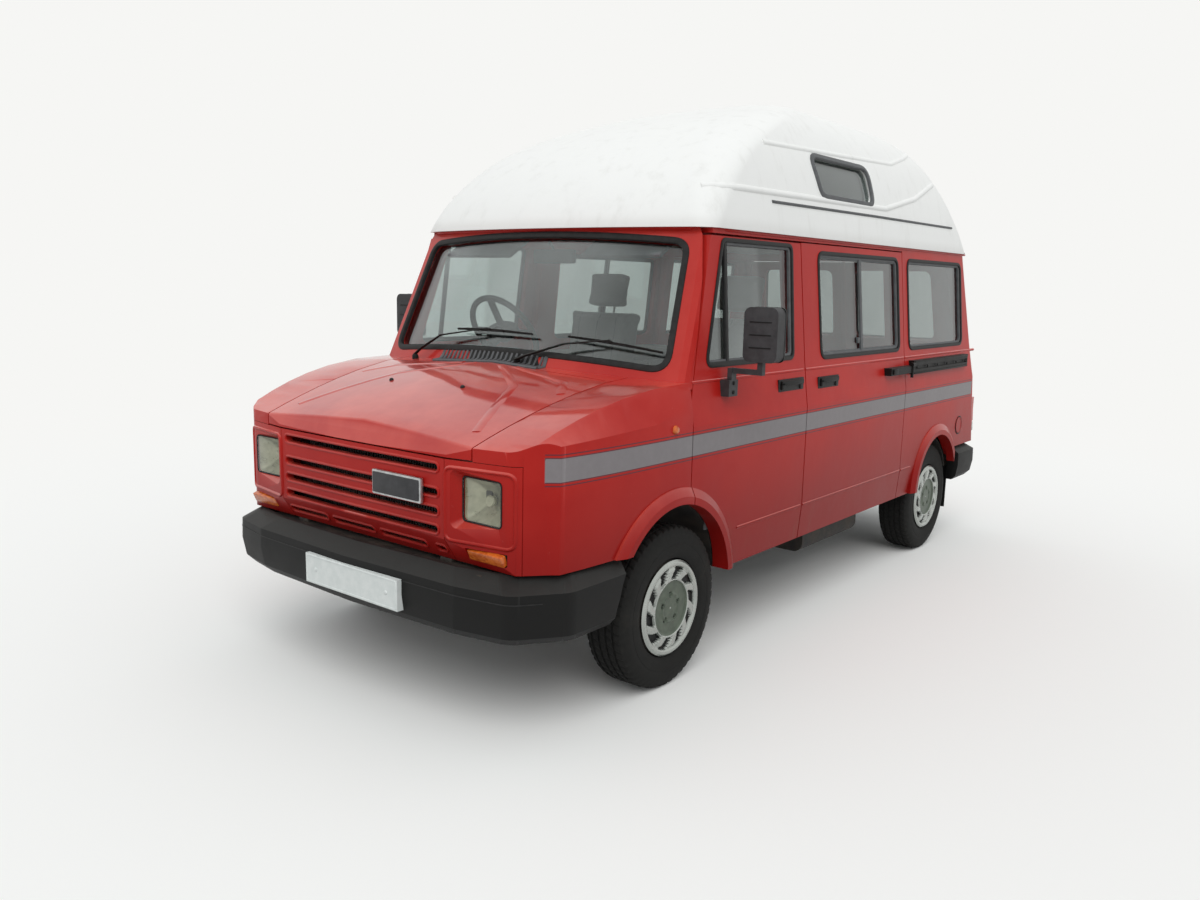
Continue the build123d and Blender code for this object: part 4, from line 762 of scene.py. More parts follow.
def side_window(name, outline, radius, sign, body, slides):
    """Rubber seal, inner frame and, on a sliding window, its tracks, middle bars and catch."""
    trim(f"{name}_seal", side_loop(rounded(grown(outline, 2), radius), sign), SEAL, "rubber", body)
    inner = Piece()
    inner.ribbon(side_loop(rounded(grown(outline, -11), radius - 10), sign, 8), INNER_FRAME, closed=True)
    if slides:
        (y0, y1), (z0, z1) = ((min(row), max(row)) for row in zip(*outline))
        middle = (y0 + y1) / 2
        for offset, depth in ((-9, 6), (9, 10)):
            bar = [(middle + offset, z) for z in spaced(z0 + 14, z1 - 14, 2)]
            inner.ribbon(side_loop(bar, sign, depth), even((-8, -6), (-8, 3), (-5, 5)))
        for z in (z0 + 20, z1 - 20):
            inner.ribbon(side_loop([(y0 + 14, z), (y1 - 14, z)], sign, 10), even((-4, -5), (-4, 3)))
        x = side_x(z0 + 60) - 16
        inner.block(sign * x, sign * (x + 12), middle - 46, middle - 22, z0 + 50, z0 + 78, 4)
    inner.done(f"{name}_frame", "grey_trim", body)


def quarterlight(sign, side):
    """Bar between the front door's quarterlight and its winding glass, with the glass's lower seal."""
    piece = Piece()
    bar = divided([(FRONT_SHUT_Y + 275, BELT_Z + 60), (FRONT_SHUT_Y + 296, ROOF_JOINT_Z - 48)], 80, False)
    piece.ribbon(side_loop(bar, sign, 6), even((-11, -8), (-11, 2), (-7, 6)))
    foot = [(FRONT_SHUT_Y + 130 + 60 * k, BELT_Z + 60) for k in range(12)]
    piece.ribbon(side_loop(foot, sign, 6), even((-6, -6), (-6, 6), (0, 9)))
    piece.done(f"quarterlight_bar_{side}", "rubber", f"front_door_{side}")


def make_side_windows():
    """Seals and frames of the windows in the doors and sides."""
    for side, sign in SIDES:
        side_window(f"door_window_{side}", DOOR_WINDOW, 32, sign, f"front_door_{side}", False)
        quarterlight(sign, side)
        for kind, ys, slides in (("slide", SLIDE_WINDOW, True), ("quarter", QUARTER_WINDOW, False)):
            side_window(f"{kind}_window_{side}", box_outline(*ys, *WINDOW_Z), 47, sign, "body", slides)


def make_windscreen_seal():
    """Broad rubber round the windscreen, its outer lip on the frame and its inner lip on the glass."""
    (low, foot_z), (high, head_z) = SCREEN_OPENING
    foot, head = ((z - SCREEN_FOOT[1]) / math.cos(SCREEN_LEAN) for z in (foot_z, head_z))
    outline = grown(((-low, foot), (low, foot), (high, head), (-high, head)), 3)
    trim("windscreen_seal", zip(*(on_screen(*point) for point in rounded(outline, 66, 8))), SCREEN_SEAL,
         "rubber")


def make_rear_windows():
    """Seals of the windows in the rear doors."""
    z0, z1 = BELT_Z + 49, ROOF_JOINT_Z - 96
    outline = ((75, z0), (HALF_WIDTH - 250, z0), (HALF_WIDTH - 280, z1), (75, z1))
    for side, sign in SIDES:
        line = rear_loop(rounded(grown(outline, 2), 46), sign)
        trim(f"rear_window_seal_{side}", line, SEAL, "rubber", f"rear_door_{side}")


def make_roof_windows():
    """Frames of the small windows in the roof's sides."""
    y0, y1, z0, z1 = REAR_SHUT_Y + 209, REAR_SHUT_Y + 797, ROOF_JOINT_Z + 199, ROOF_JOINT_Z + 367
    outline = ((y0 + 25, z0), (y0, z1), (y1 + 20, z1), (y1, z0))
    for side, sign in SIDES:
        line = on_side(rounded(grown(outline, 7), 55, 5, 40), sign)
        trim(f"roof_window_frame_{side}", line, ROOF_SEAL, "grey_trim")


# ---------------------------------------------------------------- roof
def bead(name, points, width, height, material):
    """Raised bead along both sides of the roof through some (y, z) points."""
    w = width / 2
    profile = even((-w, -3), (-0.55 * w, height * 0.75), (0, height))
    for side, sign in SIDES:
        trim(f"{name}_{side}", on_side(divided(points, 60, False), sign), profile, material, closed=False)


def make_roof_details():
    """Moulded swages that climb to the rear, and the trim strip below them."""
    bead("roof_swage_upper", ((790, 2122), (1500, 2150), (2210, 2180), (2480, 2240), (2700, 2300)), 30, 6,
         "white_roof")
    bead("roof_swage_lower", ((330, 1905), (1100, 1915), (1960, 1927), (2400, 2010), (2760, 2120)), 34, 7,
         "white_roof")
    bead("roof_strip", ((748, 1872), (1800, 1880), (2912, 1884)), 16, 7, "grey_trim")


def make_gutter():
    """Drip rail and rubber line between the body and the moulded roof, round the front and both sides."""
    half = HALF_WIDTH - 80
    front = [(x, 165 + x * x / (2 * SCREEN_BEND_R)) for x in spaced(-half, half, 40)[2:39]]
    right = [(-half, y) for y in range(3080, 300, -120)]
    left = [(half, y) for y in range(380, 3160, 120)]
    path = [at(x, y, ROOF_JOINT_Z - 4) for x, y in right + front + left]
    normals = [Vector((along.y, -along.x, 0)) for along in directions(path, False)]
    trim("roof_gutter", (path, normals), even((-6, -6), (-6, 5), (0, 8)), "red_paint", closed=False)
    above = [point + Vector((0, 0, 0.009)) for point in path]
    trim("roof_seam", (above, normals), even((-4, -8), (-4, 3)), "rubber", closed=False)


# ---------------------------------------------------------------- front
SOFTENED_FROM = 12           # degrees between the two faces


def soften(name, body, width, wanted):
    """Stands in for a solid, with the convex edges rounded whose two faces both look a wanted way."""
    mesh = NODES[name].data.copy()
    bm = bmesh.new()
    bm.from_mesh(mesh)
    bmesh.ops.remove_doubles(bm, verts=bm.verts, dist=0.00002)
    bmesh.ops.dissolve_limit(bm, angle_limit=math.radians(0.5), verts=bm.verts, edges=bm.edges)
    edges = []
    for edge in bm.edges:
        if len(edge.link_faces) == 2 and edge.calc_length() >= 0.002 * width:
            turn = math.degrees(edge.calc_face_angle_signed(0.0))
            if turn > SOFTENED_FROM and all(wanted(face.normal) for face in edge.link_faces):
                edges.append(edge)
    bmesh.ops.bevel(bm, geom=edges, offset=width / 1000, offset_type="OFFSET", segments=4, profile=0.5,
                    affect="EDGES", clamp_overlap=True)
    for face in bm.faces:
        face.smooth = True
    for edge in bm.edges:
        edge.smooth = len(edge.link_faces) == 2 and edge.calc_face_angle(0.0) < math.radians(32)
    bm.to_mesh(mesh)
    bm.free()
    soft = new_object(f"{name}_rounded", mesh)
    soft.matrix_world = NODES[name].matrix_world
    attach(soft, body)
    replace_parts(soft, name)


SLOT_ROWS = (907, 822, 758, 695)
LOWER_SLOTS = ((-440, -212), (-172, 64), (104, 344), (398, 442))
LAMP_X, LAMP_Z = (HALF_WIDTH - 350, HALF_WIDTH - 174), (736, 886)
INDICATOR_X, INDICATOR_Z = (HALF_WIDTH - 318, HALF_WIDTH - 152), (610, 652)


def slot_outline(x0, x1, z, height):
    """Round-ended outline."""
    r = height / 2
    half_turn = spaced(0, math.pi, 8)
    ring = [(x0 + r - r * math.sin(t), z + r * math.cos(t)) for t in half_turn]
    return ring + [(x1 - r + r * math.sin(t), z - r * math.cos(t)) for t in half_turn]


def make_grille():
    """Raised rolled lips round the grille's slots, and the blank badge plate."""
    lips = Piece()
    slots = [(-430, 430, z, 24) for z in SLOT_ROWS] + [(a, b, 626, 18) for a, b in LOWER_SLOTS]
    for x0, x1, z, height in slots:
        outline = divided(slot_outline(x0 - 5, x1 + 5, z, height + 10), 60)
        lips.ribbon(on_nose(outline), even((-5.5, -3), (-4.5, 2), (0, 4)), closed=True)
    lips.done("grille_lips", "red_paint")
    badge = Piece()
    badge.block(112, 368, NOSE_Y - 14, NOSE_Y + 2, 776, 865, 7)
    badge.block(120, 360, NOSE_Y - 18, NOSE_Y - 8, 784, 857, 4, paint=1)
    badge.done("blank_badge", ["aluminium", "mirror_case"])


def make_radiator():
    """Radiator core of flat tubes between its tanks, seen through the grille."""
    core = Piece()
    y = NOSE_Y + 100
    core.block(-590, 590, y + 3, y + 5, 560, 930, 1)
    for x in spaced(-400, 400, 57):
        core.block(x - 2, x + 2, y - 3, y + 3, 612, 918, 0.8, segments=1)
    for z in (606, 922):
        core.block(-415, 415, y - 9, y + 4, z - 8, z + 8, 3)
    core.done("radiator_core", "engine_block")


def headlamp_bowl(side, sign):
    """Reflector bowl with a flat bottom and the bulb's shield in it; its pale colour is a painted
    reflection.
    """
    (x0, x1), (z0, z1) = LAMP_X, LAMP_Z
    bowl = Piece()
    rings = []
    for m, depth in ((2, 52), (4, 58), (30, 92), (58, 108)):
        corners = rounded(box_outline(x0 + m, x1 - m, z0 + m, z1 - m), max(18 - m / 4, 6), 5, 400)
        rings.append([at(sign * x, NOSE_Y + depth, z) for x, z in corners])
    bowl.sweep(rings, caps=False)
    bowl.add(rings[-1], [tuple(range(len(rings[-1])))])
    shield = ((0, 1), (0, 17), (5, 21), (26, 14), (26, 1))
    bowl.lathe((sign * (x0 + x1) / 2, NOSE_Y + 78, 808), shield, 20, "Y")
    return bowl.done(f"headlamp_bowl_{side}", "reflector")


def headlamp_lens(side, sign):
    """Fluted glass that bulges forwards."""
    (x0, x1), (z0, z1) = LAMP_X, LAMP_Z
    rows = []
    for rise, z in zip(spaced(-1, 1, 8), spaced(z0 + 3, z1 - 3, 8)):
        row = []
        for k, x in enumerate(spaced(x0 + 3, x1 - 3, 44)):
            bulge = 9 * (1 - (k / 22 - 1) ** 2) * (1 - 0.6 * rise ** 2)
            row.append((sign * x, NOSE_Y + 44 - bulge + 0.9 * (k % 2), z))
        rows.append(row)
    lens = Piece()
    lens.sweep(rows, closed_ring=False)
    return lens.done(f"headlamp_lens_{side}", "lamp_glass")


def indicator(side, sign):
    """Amber lens, leaning with the nose, with ribs on it."""
    (x0, x1), (z0, z1) = INDICATOR_X, INDICATOR_Z
    lens = Piece()
    y = NOSE_Y + 32
    lean = Matrix.Rotation(math.radians(24), 3, "X")
    lens.block(sign * (x0 + 4), sign * (x1 - 4), y, y + 22, z0 + 2, z1 - 2, 5, lean)
    for z in spaced(z0 + 9, z0 + 33, 3):
        front = y - 8 + (z1 - z) * 0.44
        lens.block(sign * (x0 + 9), sign * (x1 - 9), front, front + 9, z - 1.4, z + 1.4, 1.2, segments=1)
    return lens.done(f"indicator_{side}", "amber_lens")


def make_headlamps():
    """Headlamps in rubber edges and pressed bezels, with the indicators under them."""
    (x0, x1), (z0, z1) = LAMP_X, LAMP_Z
    edge_line = rounded(box_outline(x0, x1, z0, z1), 16, 5, 60)
    bezel_line = rounded(box_outline(x0 - 48, x1 + 46, z0 - 66, z1 + 30), 30, 6, 400)
    for side, sign in SIDES:
        lamp = [headlamp_bowl(side, sign), headlamp_lens(side, sign)]
        lamp.append(trim(f"headlamp_edge_{side}", flat_loop(edge_line, NOSE_Y + 45, sign),
                         even((-2, -4), (-2, 2), (0, 3)), "rubber"))
        outline = divided([(sign * x, z) for x, z in bezel_line], 40)
        trim(f"headlamp_bezel_{side}", on_nose(outline), ((-9, -3), (-6, 3), (-1, 6), (3, 5), (8, -3)),
             "red_paint")
        lamp.append(indicator(side, sign))
        for piece in lamp:
            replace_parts(piece, "front_lamps")


def make_valance():
    """Dark cross panel behind the bumper, closing the gap under the grille, and the chassis legs."""
    panel = Piece()
    panel.block(-620, 620, NOSE_Y + 20, NOSE_Y + 150, 500, 572, 8)
    panel.block(-520, 520, NOSE_Y + 88, NOSE_Y + 96, 560, 640, 2)
    for x in (-410, 410):
        panel.block(x - 30, x + 30, NOSE_Y + 60, -300, 462, 585, 6)
    panel.done("front_cross_panel", "chassis")


def make_bonnet_creases():
    """Raised V of pressed lines on the bonnet, and the pressed edge beside each of its sides."""
    piece = Piece()
    for sign in (-1, 1):
        for points in (((70, -130), (330, -330), (500, -690)), ((150, -128), (470, -210), (560, -330))):
            line = divided([(sign * x, y) for x, y in points], 40, False)
            piece.ribbon(on_top(line), even((-22, -1), (-8.8, 2.6)))
    piece.done("bonnet_creases", "red_paint", "bonnet")


def make_cowl():
    """Scuttle air intake with slanted slots, and the washer jets."""
    x0, x1, y0, y1 = -360, 240, -104, -30
    across = spaced(x0, x1, 24)
    vent = Piece()
    edges = [[(x, y) for x in across] for y in (y0, y1)]
    edges += [[(x, y) for y in spaced(y0, y1, 4)] for x in (x0, x1)]
    for edge in edges:
        vent.ribbon(on_top(edge), even((-9, -3), (-9, 3), (-5, 7)))
    for x in spaced(x0 + 22, x1 - 22, 21):
        slat = list(zip(spaced(x - 9, x + 9, 4), spaced(y0 + 4, y1 - 4, 4)))
        vent.ribbon(on_top(slat), even((-6.5, -2), (-5, 5)))
    reach = (y1 - y0) / 2
    floor = even((-reach, -4), (-reach, 2), (0, 2.6))
    vent.ribbon(on_top([(x, y0 + reach) for x in across]), floor, paint=1)
    vent.done("cowl_vent", ["grey_trim", "rubber"])
    jets = Piece()
    for x in (-260, 150):
        (place,), (normal,) = on_top([(x, -419)])
        jets.tube([place + normal * out for out in (-0.004, 0.004, 0.009)], [9, 9, 5])
    jets.done("washer_jets", "rubber", "bonnet")


def wiper(name, pivot_x, arm, blade):
    """Spindle, sprung arm and rubber blade parked low on the glass; its points are (x, rise)."""
    piece = Piece()
    (spindle,), (up,) = on_top([(pivot_x, -66)])
    piece.tube([spindle + up * out for out in (-0.01, 0.014, 0.022)], [16, 14, 9], 14)
    start = spindle + up * 0.020
    elbow, joint = on_screen(*arm[0], -30)[0], on_screen(*arm[1], -24)[0]
    piece.tube([start, start.lerp(elbow, 0.25) + up * 0.006, elbow, joint], [10, 9, 7, 4], flat=0.6)
    foot, tip = (Vector(point) for point in blade)
    line, normals = zip(*(on_screen(*foot.lerp(tip, k / 20)) for k in range(21)))
    piece.ribbon((line, normals), even((-1.5, 0), (-4, 7), (-4.5, 11)), paint=1)
    heights = [0.012 + 0.012 * math.sin(math.pi * k / 20) for k in range(21)]
    spine = [place + normal * height for place, normal, height in zip(line, normals, heights)]
    piece.tube(spine, 3, 8)
    for k in (3, 7, 13, 17):
        piece.tube([line[k] + normals[k] * 0.010, spine[k]], 5, 8)
    piece.tube([spine[10], joint], 5, 8)
    piece.done(f"wiper_{name}", ["black_trim", "rubber"])


def make_bumper_lines():
    """Moulded groove line round both bumpers."""
    piece = Piece()
    z = 505
    for y0, step in ((FRONT_BUMPER_Y, 1), (REAR_BUMPER_Y, -1)):
        line = []
        for angle in spaced(-math.pi / 2, math.pi / 2, 60):
            x, y = 1300 * math.sin(angle), y0 - step * 300 * math.cos(angle)
            place, normal = hit(BUMPERS, (x, y, z), Vector((-x, y0 + step * 420 - y, 0)).normalized())
            if (place - at(x, y, z)).length > MISSED:
                line.append((place, normal))
        piece.ribbon(zip(*line), even((-3, -3), (-2, 1.4)))
    piece.done("bumper_lines", "rubber")


def make_plates():
    """Pressed edges and fixing screws on the blank plates."""
    for end, x, y, z, out in (("front", 46, FRONT_BUMPER_Y - 8, 398, -1),
                              ("rear", 0, REAR_BUMPER_Y + 8, 420, 1)):
        piece = Piece()
        outline = rounded(box_outline(x - 254, x + 254, z + 6, z + 105), 9, 4, 120)
        piece.ribbon(flat_loop(outline, y, out=out), even((-2.5, -1), (-1.5, 1.5)), closed=True)
        for dx in (-200, 200):
            piece.knob((x + dx, y, z + 56), ((-1, 8), (2, 7), (3.5, 3)), 14, "Y", out)
        piece.done(f"plate_edge_{end}", "plate_white")


# ---------------------------------------------------------------- sides
def recessed_handle(name, sign, y0, y1, z, body="body"):
    """Pull handle in a dished plate, with its lock."""
    piece = Piece()
    x = side_x(z)
    piece.block(sign * (x - 3), sign * (x + 5), y0 - 14, y1 + 14, z - 30, z + 24, 6, paint=1)
    piece.block(sign * (x + 4), sign * (x + 15), y0, y1, z - 4, z + 18, 6)
    piece.block(sign * (x + 4), sign * (x + 15), y0, y0 + 26, z - 20, z + 12, 6)
    piece.knob((sign * (x + 4), y1 - 20, z - 17), ((0, 10), (5, 9), (6, 7)), 18, "X", sign)
    piece.done(name, ["black_trim", "rubber"], body)


def mirror_dressing(side, sign, door):
    """Mirror glass in its rim behind the head, ribs on the head's front, and the arm's screws."""
    x0, x1, y0, y1, z0, z1 = HALF_WIDTH + 70, HALF_WIDTH + 214, 292, 352, BELT_Z + 74, BELT_Z + 280
    glass = Piece()
    glass.block(sign * (x0 + 10), sign * (x1 - 10), y1 - 3, y1 + 3, z0 + 10, z1 - 10, 3)
    glass.done(f"mirror_glass_{side}", "mirror_glass", door)
    rim = Piece()
    outline = rounded(box_outline(x0 + 4, x1 - 4, z0 + 4, z1 - 4), 18, 5, 60)
    rim.ribbon(flat_loop(outline, y1, sign, 1), even((-5, -3), (-4, 6)), closed=True)
    for z in (z0 + 55, z0 + 103, z0 + 151):
        rim.block(sign * (x0 + 26), sign * (x1 - 26), y0 - 3, y0 + 4, z - 2, z + 2, 1.5)
    for z in (BELT_Z - 50, BELT_Z - 14):
        rim.knob((sign * (HALF_WIDTH + 22), 318, z), ((-4, 9), (3, 8), (5, 4)), 12, "X", sign)
    rim.done(f"mirror_rim_{side}", "black_trim", door)


SILL_CREASE, BELT_CREASE = even((-7, -2), (-2.5, 2.2)), even((-8, -2), (-3, 2.2))


def crease(piece, y0, y1, z, sign, profile=BELT_CREASE):
    """Pressed line along a side."""
    piece.ribbon(side_loop([(y, z) for y in spaced(y0, y1, 16)], sign), profile)


def make_side_details():
    """Door handles, mirrors, side repeaters and pressed lines of both sides."""
    for side, sign in SIDES:
        door = f"front_door_{side}"
        recessed_handle(f"door_handle_{side}", sign, 760, 960, 1110, door)
        mirror_dressing(side, sign, door)
        repeater = Piece()
        dome = ((-2, 0.5), (-2, 17), (6, 16), (13, 11), (15, 0.5))
        repeater.lathe((sign * (side_x(1003) - 2), -41, 1003), dome, 24, "X", sign)
        repeater.done(f"repeater_{side}", "amber_lens")
        lines = Piece()
        for z, rear_end, profile in ((SILL_Z, 2300, SILL_CREASE), (BELT_Z - 2, 3290, BELT_CREASE)):
            crease(lines, REAR_SHUT_Y + 8, SLIDE_SHUT_Y - 6, z, sign, profile)
            crease(lines, SLIDE_SHUT_Y + 8, rear_end, z, sign, profile)
        lines.done(f"side_creases_{side}", "red_paint")
        lines = Piece()
        crease(lines, FRONT_SHUT_Y + 12, 985, BELT_Z - 2, sign)
        crease(lines, 430, 985, SILL_Z, sign)
        lines.done(f"door_creases_{side}", "red_paint", door)


def make_left_details():
    """The sliding door's handle and rail, and the filler flap, which only the left side has."""
    recessed_handle("slide_handle", 1, 1132, 1315, 1100)
    filler = Piece()
    middle = (side_x(712) - 2, 3055, 712)
    filler.knob(middle, ((0, 50), (6, 48), (6, 43), (4, 42)), 40)
    filler.lathe(middle, ((0, 51), (0, 56), (4.5, 56), (4.5, 51)), 40, paint=1)
    filler.done("filler_flap", ["red_paint", "black_trim"])
    rail = Piece()
    for z in (1078, 1140):
        rail.block(868, 879, 2222, 3078, z - 3, z + 3, 2)
    for y in range(2260, 3100, 155):
        rail.knob((876, y, 1109), ((-3, 8), (2, 7), (4, 3)), 12)
    rail.block(884, 894, 1900, 1960, 1090, 1116, 4)
    rail.tube([(886, 2165, 1060), (886, 2165, 1140)], 8, 12)
    rail.tube([(888, 2150, 1128), (888, 2186, 1128)], 11, 12)
    rail.done("rail_details", "black_trim")


# ---------------------------------------------------------------- wheels
VANES, LUGS = 10, 5
CENTRE_R = 106               # the trim's dark middle
LUG_R = 52                   # circle that the wheel bolts' hollows lie on


def rise_between(a, b, value):
    """0 at a, 1 at b, smooth between."""
    u = min(max((value - a) / (b - a), 0), 1)
    return u * u * (3 - 2 * u)


def trim_depth(r, t):
    """Depth of the wheel trim's face, outwards, by radius and angle."""
    outer_edge = 8 * rise_between(176, 184, r)
    groove = 5 * rise_between(166, 160, r) * rise_between(148, 156, r)
    swirl = t * VANES / (2 * math.pi) + 0.009 * (r - 100)
    lobe = abs((swirl % 1) - 0.5) * 2
    slots = 17 * rise_between(0.60, 0.48, lobe) * rise_between(112, 120, r) * rise_between(162, 154, r)
    dish = 9 * rise_between(CENTRE_R + 4, CENTRE_R - 4, r)
    cap = 4 * rise_between(60, 54, r) - 3 * rise_between(50, 46, r)
    depth = cap - 2.0 - outer_edge - groove - slots - dish
    if r < 90:
        for k in range(LUGS):
            a = 2 * math.pi * (k / LUGS + 0.05)
            away = math.hypot(r * math.cos(t) - LUG_R * math.cos(a), r * math.sin(t) - LUG_R * math.sin(a))
            depth -= 10 * rise_between(12, 8, away)
    return depth


def trim_paint(r, t):
    """0 for the silver face, 1 for the dark centre, 2 for the black painted shade in the slots and lug
    hollows.
    """
    depth = trim_depth(r, t)
    if r < CENTRE_R:
        return 1 if depth > -18 else 2
    return 2 if depth < -14 and r < 170 else 0


def make_wheel(name, sign, hub_x, tyre_x, y, body):
    """Silver trim with curved vane slots and lug hollows, on the rim."""
    wheel = Piece()
    steps = 240
    radii = [4, 20] + [28 + 3 * k for k in range(22)] + [94 + 3.2 * k for k in range(28)] + [185]
    rings = [[(sign * (hub_x + trim_depth(r, t)), y + r * math.cos(t), TYRE_R + r * math.sin(t))
              for t in turns(steps)] for r in radii]
    half_step = math.pi / steps
    paints = [trim_paint((a + b) / 2, t + half_step) for a, b in zip(radii, radii[1:]) for t in turns(steps)]
    wheel.sweep(rings, paint=paints, caps=False)
    wheel.add(rings[0], [tuple(range(steps))])
    inner = (sign * (tyre_x - 75), y, TYRE_R)
    rim = ((0, 150), (0, RIM_R - 1), (8, RIM_R + 4), (16, RIM_R - 4), (60, RIM_R - 18), (120, RIM_R - 12),
           (142, RIM_R - 1), (148, RIM_R - 1), (148, 150), (100, 146))
    disc = ((70, 19), (70, 80), (100, 148), (112, 148), (112, 19))
    wheel.lathe(inner, rim, 64, "X", sign, paint=3)
    wheel.lathe(inner, disc, 48, "X", sign, paint=3)
    # The rubber slot colours the slots and lug hollows black as painted shade.
    return wheel.done(name, ["silver_trim", "trim_centre", "rubber", "chassis"], body, sharp=50)


def tyre_profile():
    """The tyre's section, as (along, radius): walls with moulded ribs, and four grooves in the tread."""
    half = 90
    wall = [(half - 24, RIM_R + 1), (half - 10, RIM_R + 6), (half - 4, RIM_R + 18), (half - 1, RIM_R + 34),
            (half, RIM_R + 58), (half - 1.2, RIM_R + 60), (half, RIM_R + 63), (half - 2, RIM_R + 84),
            (half - 6, RIM_R + 104), (half - 15, TYRE_R - 6), (half - 24, TYRE_R - 2)]
    groove = ((5.5, 0.3), (4.5, 7), (-4.5, 7), (-5.5, 0.3))
    tread = [(middle + across, TYRE_R - deep) for middle in (48, 16, -16, -48) for across, deep in groove]
    return wall + tread + [(-along, r) for along, r in reversed(wall)]


def make_tyre(name, sign, x, y, body):
    """Tyre with cross cuts in its tread and shoulders."""
    tyre = Piece()
    rings = []
    for k, t in enumerate(turns(216)):
        ring = []
        for along, r in tyre_profile():
            cut = 0.0
            if k % 4 == (0 if along > 0 else 2):
                if abs(along) > 58 and r > TYRE_R - 9:
                    cut = 5.5
                elif r > TYRE_R - 3:
                    cut = 4.5
            r = min(r, TYRE_R - 0.2) - cut
            slant = t + 0.0015 * along
            ring.append((sign * (x + along), y + r * math.cos(slant), TYRE_R + r * math.sin(slant)))
        rings.append(ring)
    tyre.sweep(rings, True, False)
    return tyre.done(name, "tyre_rubber", body, sharp=32)


def make_wheels():
    """A trim with its rim, and a tyre, in place of each solid wheel and tyre."""
    for side, sign in SIDES:
        for end, hub_x, y in (("front", HALF_WIDTH - 12, 0), ("rear", HALF_WIDTH - 30, WHEELBASE)):
            body = f"{end}_wheel_{side}"
            tyre_x = hub_x - 94
            wheel = make_wheel(f"{end}_trim_{side}", sign, hub_x, tyre_x, y, body)
            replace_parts(wheel, f"{end}_wheel_{side}")
            tyre = make_tyre(f"{end}_tread_{side}", sign, tyre_x, y, body)
            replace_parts(tyre, f"{end}_tyre_{side}")


# ---------------------------------------------------------------- rear
def make_rear_details():
    """Door handle and lock, lamp segments, hinge pins, door pressings and plate lamp."""
    lean = Matrix.Rotation(math.atan(REAR_LEAN), 3, "X")
    handle = Piece()
    z = 1075
    y = rear_y(z)
    handle.block(-150, -40, y - 3, y + 5, z - 26, z + 26, 5, lean, paint=1)
    handle.block(-140, -50, y + 8, y + 20, z - 8, z + 10, 5, lean)
    handle.block(-66, -44, y + 2, y + 18, z - 20, z + 16, 5, lean)
    handle.done("rear_handle", ["black_trim", "rubber"], "rear_door_right")
    for side, sign in SIDES:
        lamp = Piece()
        for k, (z0, z1) in enumerate(((642, 700), (704, 790), (794, 858))):
            y = rear_y((z0 + z1) / 2) + 27
            lamp.block(sign * (HALF_WIDTH - 62), sign * (HALF_WIDTH - 20), y - 14, y + 3, z0, z1, 4, lean, k)
        lamp.done(f"tail_lamp_segments_{side}", ["clear_lens", "red_lens", "amber_lens"])
        caps = Piece()
        for z in (722, 798, 1072, 1148):
            middle = at(sign * (HALF_WIDTH - 110), rear_y(z) + 20, z)
            half = Vector((0, 0, 0.006))
            caps.tube([middle - half, middle + half], 8, 14)
        caps.done(f"rear_hinge_caps_{side}", "red_paint")
        line = rear_loop(rounded(box_outline(110, 640, 700, 1120), 40, 6, 90), sign)
        trim(f"rear_door_pressing_{side}", line, even((-8, -2), (-3, 2.5)), "red_paint", f"rear_door_{side}")
    plate_lamp = Piece()
    plate_lamp.block(-60, 60, REAR_BUMPER_Y - 30, REAR_BUMPER_Y + 4, 548, 566, 5)
    plate_lamp.done("plate_lamp", "black_trim")


# ---------------------------------------------------------------- inside
SEAT_X = HALF_WIDTH - 462
SEAT_LEAN = Matrix.Rotation(math.radians(-10), 4, "X")
SEAT_PIVOT_Y, SEAT_PIVOT_Z = 1010, 905
PADS = {                     # metres: size, crown of the faces, edge radius, most that filling may move it
    "pad_cushion": ((0.445, 0.45, 0.110), 0.006, 0.030, 0.022),
    "pad_back": ((0.425, 0.090, 0.465), 0.0, 0.028, 0.020),
    "pad_head": ((0.219, 0.069, 0.164), 0.0, 0.026, 0.013),
}
FILLING_FRAMES = 20


def foam_block(name, size, crown):
    """Block of foam before it is filled, its middle at the origin."""
    bm = bmesh.new()
    bmesh.ops.create_cube(bm, size=1.0)
    bmesh.ops.scale(bm, vec=size, verts=bm.verts)
    bmesh.ops.subdivide_edges(bm, edges=bm.edges, cuts=5, use_grid_fill=True)
    for v in bm.verts:
        across = 2 * v.co.x / size[0]
        v.co.z += crown * across * across
    mesh = bpy.data.meshes.new(name)
    bm.to_mesh(mesh)
    bm.free()
    return new_object(name, mesh)


def apply_modifiers(obj):
    """Turns an object's modifiers into plain mesh, in order."""
    bpy.context.view_layer.objects.active = obj
    for other in bpy.context.selected_objects:
        other.select_set(False)
    obj.select_set(True)
    for modifier in list(obj.modifiers):
        bpy.ops.object.modifier_apply(modifier=modifier.name)


def swell(obj, cap):
    """Lets a pad swell as stuffed cloth, moved by no more than a cap."""
    start = [v.co.copy() for v in obj.data.vertices]
    cloth = obj.modifiers.new("cloth", "CLOTH")
    cloth.settings.use_pressure = True
    cloth.settings.uniform_pressure_force = 4.0
    cloth.settings.effector_weights.gravity = 0.0
    cloth.settings.quality = 4
    cloth.point_cache.frame_start, cloth.point_cache.frame_end = 1, FILLING_FRAMES
    for number in range(1, FILLING_FRAMES + 1):
        bpy.context.scene.frame_set(number)
    apply_modifiers(obj)
    bpy.context.scene.frame_set(1)
    for v, was in zip(obj.data.vertices, start):
        moved = v.co - was
        if moved.length > cap:
            v.co = was + moved * (cap / moved.length)
    smooth = obj.modifiers.new("subdivision", "SUBSURF")
    smooth.levels = smooth.render_levels = 1
    apply_modifiers(obj)


